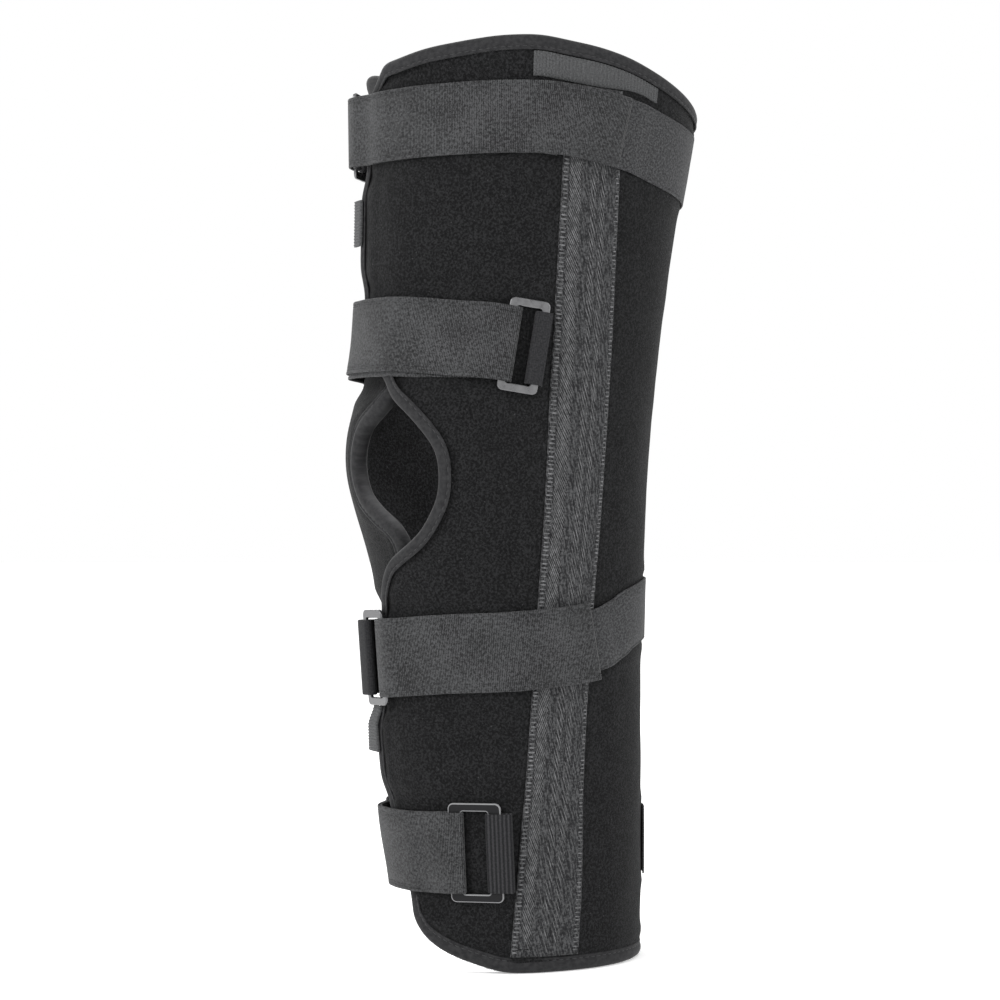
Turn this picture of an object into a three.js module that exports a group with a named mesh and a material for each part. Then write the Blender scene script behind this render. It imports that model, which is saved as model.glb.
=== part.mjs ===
// Knee immobilizer: a wrap-around foam panel for a straight leg, open at the
// kneecap, with a side stay under a tape on each side and four webbing straps
// that turn back through rectangular rings.
// Millimetres, +Z up the leg. The front of the leg faces -Y, +X is the near side.
// "Around" is an angle in degrees from the front of the leg toward +X.
import * as THREE from 'three';

// Sizes of the whole wrap
const height = 500;
const ankleWidth = 124;
const thighWidth = 172;
const ankleFront = 62;
const kneeFront = 83;
const calfBack = 70.8;
const thighBack = 109;
const cornerSquare = 2.2;

// Foam laminate panel
const wall = 6;
const overlapBlendFrom = 12;
const overlapBlendTo = 52;

// Cutout at the kneecap
const cutoutHeight = 120;
const cutoutMiddle = 265;
const cutoutReach = 44.5;
const farCutoutReach = 3;
const lipFlare = 14.5;
const lipFlareHeight = 46;
const lipFlareUp = 10;
const edgeBlend = 50;

// Front edges of the panel, around
const nearThighEdge = -5;
const nearCalfEdge = -1;
const farThighEdge = 17;
const farCalfEdge = 22;

// Tapes, webbing and clearances
const fit = 0.4;
const binding = 1.0;
const bindingLeg = 7;
const seam = 0.5;
const tapeSeat = 0.7;
const stayTape = 1.2;
const stayTapeWidth = 36;
const stayCover = 1.2;
const stayCoverWidth = 40;
const webbing = 1.2;
const hookTape = 1.1;
const strapWidth = 40;
const strapClear = 0.9;
const layerAir = 2 * (binding + seam) + fit;
const strapPull = 3.4;
const strapPullPast = 4.5;
const strapPullFade = 12;
const strapPullFrom = 30;
const strapPullTo = 75;

// Rings
const ringWidth = 24;
const ringThick = 1.8;
const ringSideBar = 4;
const ringEndBar = 4.4;
const ringPlay = 0.5;

// Small trims
const rimTapeTall = 13.2;
const pullTabTall = 25;
const pullTabWide = 9;
const pullTabThick = 1.6;

// Leg shape from the floor up. "up" is a share of height; "side" runs from the
// ankle's to the thigh's half width, "front" from the ankle's to the knee's
// front reach, "back" from the calf's to the thigh's back reach.
const legRows = [
  { up: 0.000, side: 0.00, front: 0.00, back: 0.005 },
  { up: 0.082, side: 0.08, front: 0.14, back: 0.030 },
  { up: 0.158, side: 0.15, front: 0.43, back: 0.020 },
  { up: 0.234, side: 0.19, front: 0.60, back: 0.005 },
  { up: 0.284, side: 0.21, front: 0.69, back: 0.000 },
  { up: 0.396, side: 0.29, front: 0.81, back: 0.015 },
  { up: 0.492, side: 0.42, front: 0.90, back: 0.065 },
  { up: 0.598, side: 0.54, front: 0.97, back: 0.155 },
  { up: 0.698, side: 0.69, front: 1.00, back: 0.300 },
  { up: 0.788, side: 0.79, front: 0.96, back: 0.490 },
  { up: 0.838, side: 0.85, front: 0.94, back: 0.607 },
  { up: 0.890, side: 0.90, front: 0.94, back: 0.746 },
  { up: 0.950, side: 0.94, front: 0.95, back: 0.895 },
  { up: 1.000, side: 1.00, front: 0.94, back: 1.000 },
];

// Rim of the wrap: how far the top edge lies below the height, and how far the
// bottom edge lies above the floor on the near and the far side, as shares of
// the height.
const rimRows = [
  { around: 17, top: 0.0190, near: 0.0400, far: 0.1040 },
  { around: 20, top: 0.0172, near: 0.0350, far: 0.1040 },
  { around: 25, top: 0.0145, near: 0.0275, far: 0.1040 },
  { around: 33, top: 0.0105, near: 0.0192, far: 0.1020 },
  { around: 41, top: 0.0080, near: 0.0130, far: 0.1005 },
  { around: 52, top: 0.0045, near: 0.0070, far: 0.0810 },
  { around: 62, top: 0.0015, near: 0.0010, far: 0.0330 },
  { around: 70, top: 0.0005, near: 0.0000, far: 0.0040 },
  { around: 76, top: 0.0000, near: 0.0000, far: 0.0000 },
  { around: 85, top: 0.0035, near: 0.0000, far: 0.0000 },
  { around: 94, top: 0.0080, near: 0.0000, far: 0.0000 },
  { around: 104, top: 0.0155, near: 0.0000, far: 0.0000 },
  { around: 116, top: 0.0280, near: 0.0000, far: 0.0000 },
  { around: 138, top: 0.0480, near: 0.0000, far: 0.0000 },
  { around: 155, top: 0.0580, near: 0.0000, far: 0.0000 },
  { around: 180, top: 0.0620, near: 0.0000, far: 0.0000 },
];

// Rounded front corners of the panel. "up" is the height of a point on the
// front edge as a share of the height; near and far say how far that edge lies
// back from the straight front edge, in degrees.
const cornerRows = [
  { up: 0.040, near: 18.5, far: 57.0 },
  { up: 0.048, near: 14.0, far: 57.0 },
  { up: 0.061, near: 11.0, far: 53.0 },
  { up: 0.080, near: 8.5, far: 47.0 },
  { up: 0.105, near: 6.5, far: 37.0 },
  { up: 0.135, near: 4.0, far: 25.0 },
  { up: 0.170, near: 1.5, far: 12.0 },
  { up: 0.200, near: 0.0, far: 4.0 },
  { up: 0.250, near: 0.0, far: 0.0 },
  { up: 0.910, near: 0.0, far: 0.0 },
  { up: 0.930, near: 0.7, far: 6.0 },
  { up: 0.945, near: 2.2, far: 18.0 },
  { up: 0.955, near: 4.2, far: 30.0 },
  { up: 0.964, near: 7.5, far: 42.0 },
  { up: 0.975, near: 14.0, far: 50.0 },
];

// Outline of the kneecap cutout. "up" is a share of half its height from its
// middle; near and far are shares of the way from the front edge to its reach.
const cutoutRows = [
  { up: -1.45, near: 0.00, far: 0.00 },
  { up: -1.03, near: 0.21, far: 0.00 },
  { up: -0.78, near: 0.36, far: 0.00 },
  { up: -0.59, near: 0.58, far: 0.00 },
  { up: -0.44, near: 0.76, far: 0.09 },
  { up: -0.27, near: 0.88, far: 0.55 },
  { up: -0.09, near: 0.97, far: 0.92 },
  { up: 0.05, near: 0.99, far: 0.99 },
  { up: 0.18, near: 0.99, far: 1.00 },
  { up: 0.31, near: 0.96, far: 0.94 },
  { up: 0.44, near: 0.87, far: 0.83 },
  { up: 0.63, near: 0.69, far: 0.26 },
  { up: 0.75, near: 0.54, far: 0.02 },
  { up: 0.86, near: 0.44, far: 0.00 },
  { up: 1.00, near: 0.30, far: 0.00 },
  { up: 1.40, near: 0.00, far: 0.00 },
];

// Front and rear edge of the side stay tape: its middle, around, by height.
const tapeRows = [
  { up: 0.000, around: 81.2 },
  { up: 0.100, around: 84.2 },
  { up: 0.200, around: 86.6 },
  { up: 0.300, around: 89.0 },
  { up: 0.400, around: 91.2 },
  { up: 0.500, around: 93.0 },
  { up: 0.600, around: 94.1 },
  { up: 0.700, around: 94.5 },
  { up: 0.880, around: 94.6 },
  { up: 1.000, around: 94.6 },
];

// Each strap turns back in a ring and runs on in the direction "way": 1 toward
// the near side and the back, -1 toward the far side and the back. "ring",
// "end", "hookFrom" and "hookEnd" are measured from the front in that direction.
// The widths are shares of the strap's, the ring's and its side bar's, and "sag" is how far the
// lower layer hangs below the upper one, as a share of the strap's width.
const strapRows = [
  { name: 'upper_thigh', way: 1, ring: -21, ringWide: 1.00, bar: 1.0, wide: 0.95, sag: 0.00, end: 103, hookFrom: 90, hookEnd: 212, hookWide: 0.95 },
  { name: 'lower_thigh', way: -1, ring: -73, ringWide: 0.92, bar: 1.1, wide: 1.00, sag: 0.07, end: 103, hookFrom: 90, hookEnd: 165, hookWide: 0.95 },
  { name: 'upper_calf', way: 1, ring: 3, ringWide: 1.00, bar: 1.0, wide: 1.06, sag: 0.00, end: 101, hookFrom: 90, hookEnd: 200, hookWide: 0.84 },
  { name: 'ankle', way: -1, ring: -52, ringWide: 1.22, bar: 1.8, wide: 1.10, sag: 0.00, end: 101, hookFrom: 90, hookEnd: 209, hookWide: 0.95 },
];

// Middle line of each strap: height as a share of the height, by "along".
const strapLines = {
  upper_thigh: [
    { along: -60, up: 0.914 }, { along: -20, up: 0.913 }, { along: 12, up: 0.911 }, { along: 75, up: 0.912 },
    { along: 88, up: 0.909 }, { along: 98, up: 0.903 }, { along: 112, up: 0.894 }, { along: 125, up: 0.885 },
    { along: 145, up: 0.877 }, { along: 180, up: 0.872 }, { along: 215, up: 0.875 },
  ],
  lower_thigh: [
    { along: -85, up: 0.665 }, { along: -65, up: 0.674 }, { along: -45, up: 0.680 }, { along: -17, up: 0.686 },
    { along: 1, up: 0.6865 }, { along: 60, up: 0.682 }, { along: 110, up: 0.668 }, { along: 170, up: 0.655 },
  ],
  upper_calf: [
    { along: -60, up: 0.330 }, { along: 8, up: 0.337 }, { along: 46, up: 0.344 }, { along: 66, up: 0.346 },
    { along: 87, up: 0.351 }, { along: 102, up: 0.357 }, { along: 118, up: 0.370 }, { along: 125, up: 0.378 },
    { along: 150, up: 0.388 }, { along: 205, up: 0.390 },
  ],
  ankle: [
    { along: -75, up: 0.1314 }, { along: -50, up: 0.1310 }, { along: -25, up: 0.1290 }, { along: -2, up: 0.1280 },
    { along: 60, up: 0.1290 }, { along: 210, up: 0.1290 },
  ],
};

// Shape functions
const degrees = Math.PI / 180;

function follow(rows, key, column, at) {
  const last = rows.length - 1;
  if (at <= rows[0][key]) return rows[0][column];
  if (at >= rows[last][key]) return rows[last][column];
  let k = 0;
  while (at > rows[k + 1][key]) k += 1;
  const slope = (a, b) => (rows[b][column] - rows[a][column]) / (rows[b][key] - rows[a][key]);
  const span = rows[k + 1][key] - rows[k][key];
  const here = slope(k, k + 1);
  const before = k > 0 ? slope(k - 1, k) : here;
  const after = k + 1 < last ? slope(k + 1, k + 2) : here;
  const meet = (a, b) => (a * b <= 0 ? 0 : (2 * a * b) / (a + b));
  const t = (at - rows[k][key]) / span;
  const m0 = meet(before, here) * span;
  const m1 = meet(here, after) * span;
  const a = rows[k][column];
  const b = rows[k + 1][column];
  return (2 * t ** 3 - 3 * t ** 2 + 1) * a + (t ** 3 - 2 * t ** 2 + t) * m0
    + (-2 * t ** 3 + 3 * t ** 2) * b + (t ** 3 - t ** 2) * m1;
}

function ease(from, to, at) {
  const t = Math.min(1, Math.max(0, (at - from) / (to - from)));
  return t * t * (3 - 2 * t);
}

function fromFront(around) {
  return around > 180 ? around - 360 : around;
}

// How far the straps pull the foam in where they cross the front.
function pulled(away, z) {
  const depths = strapRows.map((row) => {
    const beside = Math.abs(z - strapAt(row.name, 0)) - (strapWidth * row.wide) / 2 - strapPullPast;
    return 1 - ease(0, strapPullFade, beside);
  });
  return strapPull * Math.max(...depths) * (1 - ease(strapPullFrom, strapPullTo, away));
}

// Outer surface of the wrap, with an offset outward from it.
function skin(around, z, out) {
  const up = z / height;
  const side = (ankleWidth + (thighWidth - ankleWidth) * follow(legRows, 'up', 'side', up)) / 2;
  const front = ankleFront + (kneeFront - ankleFront) * follow(legRows, 'up', 'front', up);
  const back = calfBack + (thighBack - calfBack) * follow(legRows, 'up', 'back', up);
  const s = Math.sin(around * degrees);
  const c = Math.cos(around * degrees);
  const x = side * Math.sign(s) * Math.abs(s) ** (2 / cornerSquare);
  const y = -(c > 0 ? front : back) * Math.sign(c) * Math.abs(c) ** (2 / cornerSquare);
  const away = Math.abs(fromFront(((around % 360) + 360) % 360));
  const past = Math.max(0, away - cutoutReach + 2) / (cutoutReach / 2);
  const rise = (z - cutoutMiddle - lipFlareUp) / lipFlareHeight;
  const flare = lipFlare * Math.exp(-past * past - rise * rise);
  const k = 1 + (out + flare - pulled(away, z)) / Math.hypot(x, y);
  return new THREE.Vector3(x * k, y * k, z);
}

// Along the unrolled panel u runs from the near front edge round the back to
// the far front edge. The near edge lies over the far one.
function layer(u) {
  const lift = (wall + layerAir) / 2;
  if (u < 180) return lift * (1 - ease(overlapBlendFrom, overlapBlendTo, u));
  return -lift * (1 - ease(overlapBlendFrom, overlapBlendTo, 360 - u));
}

// Outermost skin that a band meets around the front, where it crosses the
// bound edge of the near panel and steps down to the far one. "edge" and
// "bound" are the ends of that binding, around.
function under(around, edge, bound) {
  const lift = (wall + layerAir) / 2;
  if (around > 180 || around < -180) return 0;
  const leg = rimInset;
  if (around >= edge) {
    const smooth = lift * (1 - ease(overlapBlendFrom, overlapBlendTo, around));
    return smooth + leg * (1 - ease(bound, bound + 12, around));
  }
  const far = -lift * (1 - ease(overlapBlendFrom, overlapBlendTo, -around));
  return lift + leg + (far - lift - leg) * ease(edge, edge - 30, around);
}

function cutoutShare(z, column) {
  return follow(cutoutRows, 'up', column, (z - cutoutMiddle) / (cutoutHeight / 2));
}

function nearEdge(z) {
  const low = nearCalfEdge + (nearThighEdge - nearCalfEdge) * ease(cutoutMiddle - edgeBlend, cutoutMiddle + edgeBlend, z);
  return low + (cutoutReach - low) * cutoutShare(z, 'near') + follow(cornerRows, 'up', 'near', z / height);
}

function farEdge(z) {
  const low = farCalfEdge + (farThighEdge - farCalfEdge) * ease(cutoutMiddle - edgeBlend, cutoutMiddle + edgeBlend, z);
  return 360 + low - (farCutoutReach + low) * cutoutShare(z, 'far') - follow(cornerRows, 'up', 'far', z / height);
}

const rimInset = binding + seam;

function topEdge(u) {
  return height - follow(rimRows, 'around', 'top', Math.abs(fromFront(u))) * height - rimInset;
}

function bottomEdge(u) {
  const around = fromFront(u);
  const lift = u > 180 ? follow(rimRows, 'around', 'far', -around) : follow(rimRows, 'around', 'near', around);
  return lift * height + rimInset;
}

// Grid of the panel
const columnCount = 39;
const rowShares = [];
{
  const lowest = 0.048;
  const highest = 0.981;
  const heights = [0.085, 0.129, 0.180, 0.234, 0.284, 0.337, 0.386];
  for (const row of cutoutRows.slice(1, -1).filter((r) => Math.abs(r.up + 0.09) > 0.01)) heights.push((cutoutMiddle + (row.up * cutoutHeight) / 2) / height);
  heights.push(0.688, 0.727, 0.765, 0.820, 0.866, 0.908, 0.949);
  rowShares.push(0, bindingLeg / (height * (highest - lowest)));
  for (const up of heights) rowShares.push((up - lowest) / (highest - lowest));
  rowShares.push(1 - bindingLeg / (height * (highest - lowest)), 1);
  rowShares.sort((a, b) => a - b);
}
const rowCount = rowShares.length - 1;

const panelStart = 3;
const panelEnd = 371;
const firstColumn = bindingLeg / (kneeFront * degrees);
const nominal = [];
for (let i = 0; i <= columnCount; i += 1) {
  if (i === 0) nominal.push(panelStart);
  else if (i === columnCount) nominal.push(panelEnd);
  else {
    const t = (i - 1) / (columnCount - 2);
    nominal.push(panelStart + firstColumn + t * (panelEnd - panelStart - 2 * firstColumn));
  }
}

function panelPoint(i, j) {
  const share = rowShares[j];
  const nearShift = i < 2 ? 1 : Math.max(0, 1 - (nominal[i] - nominal[1]) / 120);
  const farShift = i > columnCount - 2 ? 1 : Math.max(0, 1 - (nominal[columnCount - 1] - nominal[i]) / 120);
  const zNear = bottomEdge(20) + share * (topEdge(20) - bottomEdge(20));
  const zFar = bottomEdge(340) + share * (topEdge(340) - bottomEdge(340));
  let u = nominal[i];
  let z = zNear;
  for (let k = 0; k < 3; k += 1) {
    const shiftNear = nearEdge(zNear) + rimInset / (kneeFront * degrees) - panelStart;
    const shiftFar = farEdge(zFar) - rimInset / (kneeFront * degrees) - panelEnd;
    u = nominal[i] + shiftNear * nearShift + shiftFar * farShift;
    z = bottomEdge(u) + share * (topEdge(u) - bottomEdge(u));
  }
  return { u, z };
}

function shellPoint(i, j, out) {
  const p = panelPoint(i, j);
  return skin(p.u, p.z, layer(p.u) + out);
}

// Closed solids from rings of points
function solid(points, faces) {
  const geometry = new THREE.BufferGeometry();
  const flat = [];
  for (const p of points) flat.push(p.x, p.y, p.z);
  geometry.setAttribute('position', new THREE.Float32BufferAttribute(flat, 3));
  let volume = 0;
  for (const [a, b, c] of faces) {
    volume += points[a].dot(new THREE.Vector3().crossVectors(points[b], points[c]));
  }
  const index = [];
  for (const [a, b, c] of faces) {
    if (volume > 0) index.push(a, b, c);
    else index.push(a, c, b);
  }
  geometry.setIndex(index);
  geometry.computeVertexNormals();
  return geometry;
}

function quad(faces, a, b, c, d) {
  faces.push([a, b, c], [a, c, d]);
}

// Solid swept through closed sections that all have the same number of points.
function sweep(sections, closed) {
  const points = sections.flat();
  const n = sections[0].length;
  const faces = [];
  const count = closed ? sections.length : sections.length - 1;
  for (let k = 0; k < count; k += 1) {
    const a = k * n;
    const b = ((k + 1) % sections.length) * n;
    for (let i = 0; i < n; i += 1) quad(faces, a + i, a + ((i + 1) % n), b + ((i + 1) % n), b + i);
  }
  if (!closed) {
    const shape = THREE.ShapeUtils;
    for (const end of [0, sections.length - 1]) {
      const s = sections[end];
      const origin = s[0];
      const across = new THREE.Vector3().subVectors(s[1], origin).normalize();
      let normal = new THREE.Vector3();
      for (let i = 1; i + 1 < n; i += 1) {
        const e = new THREE.Vector3().subVectors(s[i], origin);
        normal.add(e.cross(new THREE.Vector3().subVectors(s[i + 1], origin)));
      }
      normal = normal.normalize();
      const upward = new THREE.Vector3().crossVectors(normal, across);
      const flat = s.map((p) => {
        const d = new THREE.Vector3().subVectors(p, origin);
        return new THREE.Vector2(d.dot(across), d.dot(upward));
      });
      for (const [a, b, c] of shape.triangulateShape(flat, [])) {
        if (end === 0) faces.push([a, c, b]);
        else faces.push([end * n + a, end * n + b, end * n + c]);
      }
    }
  }
  return solid(points, faces);
}

// Foam panel
function makePanel() {
  const points = [];
  const faces = [];
  const w = columnCount + 1;
  const h = rowCount + 1;
  for (const out of [0, -wall]) {
    for (let j = 0; j < h; j += 1) for (let i = 0; i < w; i += 1) points.push(shellPoint(i, j, out));
  }
  const at = (i, j, inner) => inner * w * h + j * w + i;
  const lastColumn = columnCount - 1;
  const lastRow = rowCount - 1;
  const corner = (i, j) => (i === 0 || i === lastColumn) && (j === 0 || j === lastRow);
  const slanted = (i, j) => (i === 0) === (j === lastRow);
  for (let j = 0; j < rowCount; j += 1) {
    for (let i = 0; i < columnCount; i += 1) {
      const turnOuter = corner(i, j) ? slanted(i, j) : j === lastRow;
      const turnInner = corner(i, j) ? slanted(i, j) : j === 0 || ((i === 0 || i === lastColumn) && j !== lastRow);
      if (turnOuter) quad(faces, at(i + 1, j, 0), at(i + 1, j + 1, 0), at(i, j + 1, 0), at(i, j, 0));
      else quad(faces, at(i, j, 0), at(i + 1, j, 0), at(i + 1, j + 1, 0), at(i, j + 1, 0));
      if (turnInner) quad(faces, at(i + 1, j, 1), at(i, j, 1), at(i, j + 1, 1), at(i + 1, j + 1, 1));
      else quad(faces, at(i, j, 1), at(i, j + 1, 1), at(i + 1, j + 1, 1), at(i + 1, j, 1));
    }
  }
  for (let i = 0; i < columnCount; i += 1) {
    quad(faces, at(i, 0, 0), at(i, 0, 1), at(i + 1, 0, 1), at(i + 1, 0, 0));
    quad(faces, at(i, rowCount, 0), at(i + 1, rowCount, 0), at(i + 1, rowCount, 1), at(i, rowCount, 1));
  }
  for (let j = 0; j < rowCount; j += 1) {
    quad(faces, at(0, j, 0), at(0, j + 1, 0), at(0, j + 1, 1), at(0, j, 1));
    quad(faces, at(columnCount, j, 0), at(columnCount, j, 1), at(columnCount, j + 1, 1), at(columnCount, j + 1, 0));
  }
  return solid(points, faces);
}

// Edge binding: a tape folded over the edge of the panel
function bindingSection(i, j) {
  const ii = Math.min(columnCount - 1, Math.max(1, i));
  const jj = Math.min(rowCount - 1, Math.max(1, j));
  const point = (a, out) => {
    const edge = shellPoint(i, j, out);
    const inner = shellPoint(ii, jj, out);
    const way = new THREE.Vector3().subVectors(edge, inner).normalize();
    const foot = j === 0 ? 1 / Math.max(0.9, Math.abs(way.z)) : 1;
    if (a > 0) return edge.clone().addScaledVector(way, a * foot);
    return a === 0 ? edge : inner;
  };
  const over = seam + binding;
  return [
    point(-1, over), point(over, over), point(over, -wall - over), point(-1, -wall - over),
    point(-1, -wall - seam), point(seam, -wall - seam), point(seam, seam), point(-1, seam),
  ];
}

function makeBinding(stations, trim) {
  const sections = stations.map(([i, j]) => bindingSection(i, j));
  const shorten = (from, to) => from.map((p, k) => p.clone().lerp(to[k], Math.min(0.4, fit / Math.max(1, p.distanceTo(to[k])))));
  if (trim) {
    sections[0] = shorten(sections[0], sections[1]);
    const last = sections.length - 1;
    sections[last] = shorten(sections[last], sections[last - 1]);
  }
  return sweep(sections, false);
}

// Bands that lie along the panel
function radius(around, z) {
  const here = skin(around, z, 0);
  return Math.hypot(here.x, here.y);
}

// Length along the skin for one degree around.
function perDegree(around, z) {
  return skin(around + 4, z, 0).distanceTo(skin(around - 4, z, 0)) / 8;
}

// A band runs through stations of { around, out } along its middle line, with
// its width square to that line and its thickness square to the path, so that
// it can turn back through a ring. Where "hold" is 1 it lies square to the ring.
function band(path, middle, wide, thick, ring) {
  const flat = path.map((p) => new THREE.Vector2(p.around * degrees * kneeFront, p.out));
  const sections = flat.map((p, k) => {
    const a = flat[Math.max(0, k - 1)];
    const b = flat[Math.min(flat.length - 1, k + 1)];
    const t = new THREE.Vector2().subVectors(b, a).normalize();
    const n = new THREE.Vector2(-t.y, t.x);
    const edge = (side, across) => {
      const q = p.clone().addScaledVector(n, (side * thick) / 2);
      const around = q.x / kneeFront / degrees;
      const z = middle(around) + (path[k].drop || 0);
      const arc = perDegree(around, z);
      const lean = Math.atan2(middle(around + 2) - middle(around - 2), 4 * arc);
      const half = (across * wide) / 2;
      const free = skin(around - (Math.sin(lean) * half) / arc, z + Math.cos(lean) * half, q.y);
      if (!path[k].hold) return free;
      const held = ring.origin.clone()
        .addScaledVector(ring.across, ring.bar.x + (around - ring.bar.around) * arc)
        .addScaledVector(ring.up, half)
        .addScaledVector(ring.face, q.y - ring.bar.out);
      return free.lerp(held, path[k].hold);
    };
    return [edge(1, -1), edge(1, 0), edge(1, 1), edge(-1, 1), edge(-1, 0), edge(-1, -1)];
  });
  return sweep(sections, false);
}

// All bands share stations at whole steps, so that their layers stay apart.
const bandStep = 9;
function stations(from, to) {
  const way = Math.sign(to - from);
  const list = [from];
  for (let k = Math.ceil((way * from) / bandStep + 0.25); k * bandStep < way * to - 2; k += 1) list.push(way * k * bandStep);
  list.push(to);
  return list;
}

function tapeMiddle(z) {
  return follow(tapeRows, 'up', 'around', z / height);
}

function tapeHalf(z) {
  return stayTapeWidth / 2 / perDegree(tapeMiddle(z), z);
}

function strapAt(name, along) {
  return follow(strapLines[name], 'along', 'up', along) * height;
}

// Ends of a strap's lower layer, in front of the tape, and of its upper layer
// behind it, with room for an end that leans with the strap.
function setBack(row, along) {
  const rise = strapAt(row.name, along + 2) - strapAt(row.name, along - 2);
  const arc = perDegree(90, strapAt(row.name, along));
  return (Math.abs(rise / (4 * arc)) * strapWidth * row.wide) / 2 / arc + (2 * fit) / arc;
}

function tapeFront(row, along) {
  const z = strapAt(row.name, along);
  const ends = [z - strapWidth / 2, z + strapWidth / 2].map((h) => tapeMiddle(h) - tapeHalf(h));
  return Math.min(...ends) - setBack(row, along);
}

function tapeRear(row, along) {
  const z = strapAt(row.name, along);
  const ends = [z - strapWidth / 2, z + strapWidth / 2].map((h) => tapeMiddle(h) + tapeHalf(h));
  return Math.max(...ends) + setBack(row, along);
}

// Skin under a strap's path: it clears the near panel's binding over its width,
// and the far panel's bottom binding where that comes up under the strap.
function underStrap(row, along) {
  const z = strapAt(row.name, 0);
  const low = z - (strapWidth * row.wide) / 2;
  const high = z + (strapWidth * row.wide) / 2;
  const edge = Math.min(nearEdge(low), nearEdge(z), nearEdge(high)) - 2;
  const bound = Math.max(nearEdge(low), nearEdge(high)) + (rimInset + bindingLeg + 2.5 * fit) / (ankleFront * degrees);
  const met = under(row.way * along, edge, bound);
  if (row.way * along > 0) return met;
  const far = layer(360 + row.way * along);
  return Math.max(met, far + rimInset * ease(low - bindingLeg - 12, low - bindingLeg - 4, bottomEdge(360 + row.way * along)));
}

const ringGap = ringThick / 2 + ringPlay + webbing / 2;
const lowLayer = strapClear + webbing / 2;
const pairLayer = lowLayer + webbing + fit;
const hookOverTape = tapeSeat + stayTape + strapClear + hookTape / 2;
const endLayer = hookOverTape + hookTape / 2 + fit + webbing / 2;

// Angle around and offset of a point in space.
function locate(p) {
  const target = Math.atan2(p.x, -p.y) / degrees;
  let around = target;
  for (let k = 0; k < 12; k += 1) {
    const here = skin(around, p.z, 0);
    around += target - Math.atan2(here.x, -here.y) / degrees;
  }
  return { around, out: Math.hypot(p.x, p.y) - radius(around, p.z) };
}

// A ring lies flat over the panel with a layer of webbing under each side bar.
function ringPlace(row) {
  const z = strapAt(row.name, row.ring);
  const around = row.way * row.ring;
  const half = (ringWidth * row.ringWide - ringSideBar * row.bar) / 2;
  const span = half / perDegree(around, z);
  const at = (side) => skin(around + side * span, strapAt(row.name, row.way * (around + side * span)), underStrap(row, row.way * (around + side * span)));
  const across = new THREE.Vector3().subVectors(at(1), at(-1)).normalize();
  const along = new THREE.Vector3().subVectors(skin(around, z + strapWidth / 2, 0), skin(around, z - strapWidth / 2, 0)).normalize();
  const face = new THREE.Vector3().crossVectors(across, along).normalize();
  const up = new THREE.Vector3().crossVectors(face, across);
  const bars = (origin) => [1, -1].map((side) => {
    const spots = [-0.45, 0, 0.45].map((h) => locate(
      origin.clone().addScaledVector(across, side * row.way * half).addScaledVector(up, h * strapWidth * row.wide),
    ));
    const outs = spots.map((spot) => spot.out);
    const along = row.way * spots[1].around;
    return { along, around: spots[1].around, out: spots[1].out, low: Math.min(...outs), x: side * row.way * half, wide: ringSideBar * row.bar };
  });
  let out = underStrap(row, row.ring) + lowLayer + ringGap;
  for (let k = 0; k < 4; k += 1) {
    const short = bars(skin(around, z, out)).map((bar) => underStrap(row, bar.along) + lowLayer + ringGap - bar.low);
    out += Math.max(...short);
  }
  const origin = skin(around, z, out);
  const [turn, held] = bars(origin);
  return { origin, across, up, face, turn, held };
}

// Path that turns round a side bar of a ring: it comes in below the bar and
// leaves above it. "way" is 1 where it comes from larger values of "along".
function turnRound(bar, way) {
  const arc = kneeFront * degrees;
  const at = bar.along - (way * (bar.wide / 2 + ringPlay)) / arc;
  return [-90, -135, -180, -225, -270].map((a) => ({
    along: at + (way * Math.cos(a * degrees) * ringGap) / arc,
    out: bar.out + Math.sin(a * degrees) * ringGap,
    hold: 1,
  }));
}

function makeStrap(row) {
  const ring = ringPlace(row);
  const { turn } = ring;
  const arc = kneeFront * degrees;
  const start = tapeFront(row, 85);
  const clear = turn.along + (turn.wide / 2 + 2.5 * fit) / arc;
  const path = [];
  for (const along of stations(start, clear)) {
    const near = 1 - ease(clear, clear + 14, along);
    const rest = underStrap(row, along) + lowLayer;
    const drop = -row.sag * strapWidth * ease(clear + 5, clear + 40, along);
    path.push({ along, drop, hold: near, out: rest + Math.max(0, turn.out - ringGap - rest) * near });
  }
  path.push(...turnRound(turn, 1));
  for (const along of stations(clear, row.end)) {
    const near = 1 - ease(clear, clear + 16, along);
    const over = ease(start - 12, start - 1, along);
    const rest = underStrap(row, along) + pairLayer + (endLayer - pairLayer) * over;
    path.push({ along, hold: near, out: rest + Math.max(0, turn.out + ringGap - rest) * near });
  }
  const middle = (around) => strapAt(row.name, row.way * around);
  const turned = path.map((p) => ({ ...p, around: row.way * p.along }));
  return band(turned, middle, strapWidth * row.wide, webbing, { ...ring, bar: turn });
}

function makeHook(row) {
  const rear = tapeRear(row, 100);
  const path = stations(row.hookFrom, row.hookEnd).map((along) => {
    const down = ease(rear + 1, rear + 10, along);
    return { around: row.way * along, out: hookOverTape + (strapClear + hookTape / 2 - hookOverTape) * down };
  });
  const middle = (around) => strapAt(row.name, row.way * around);
  return band(path, middle, strapWidth * row.hookWide, hookTape);
}

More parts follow.
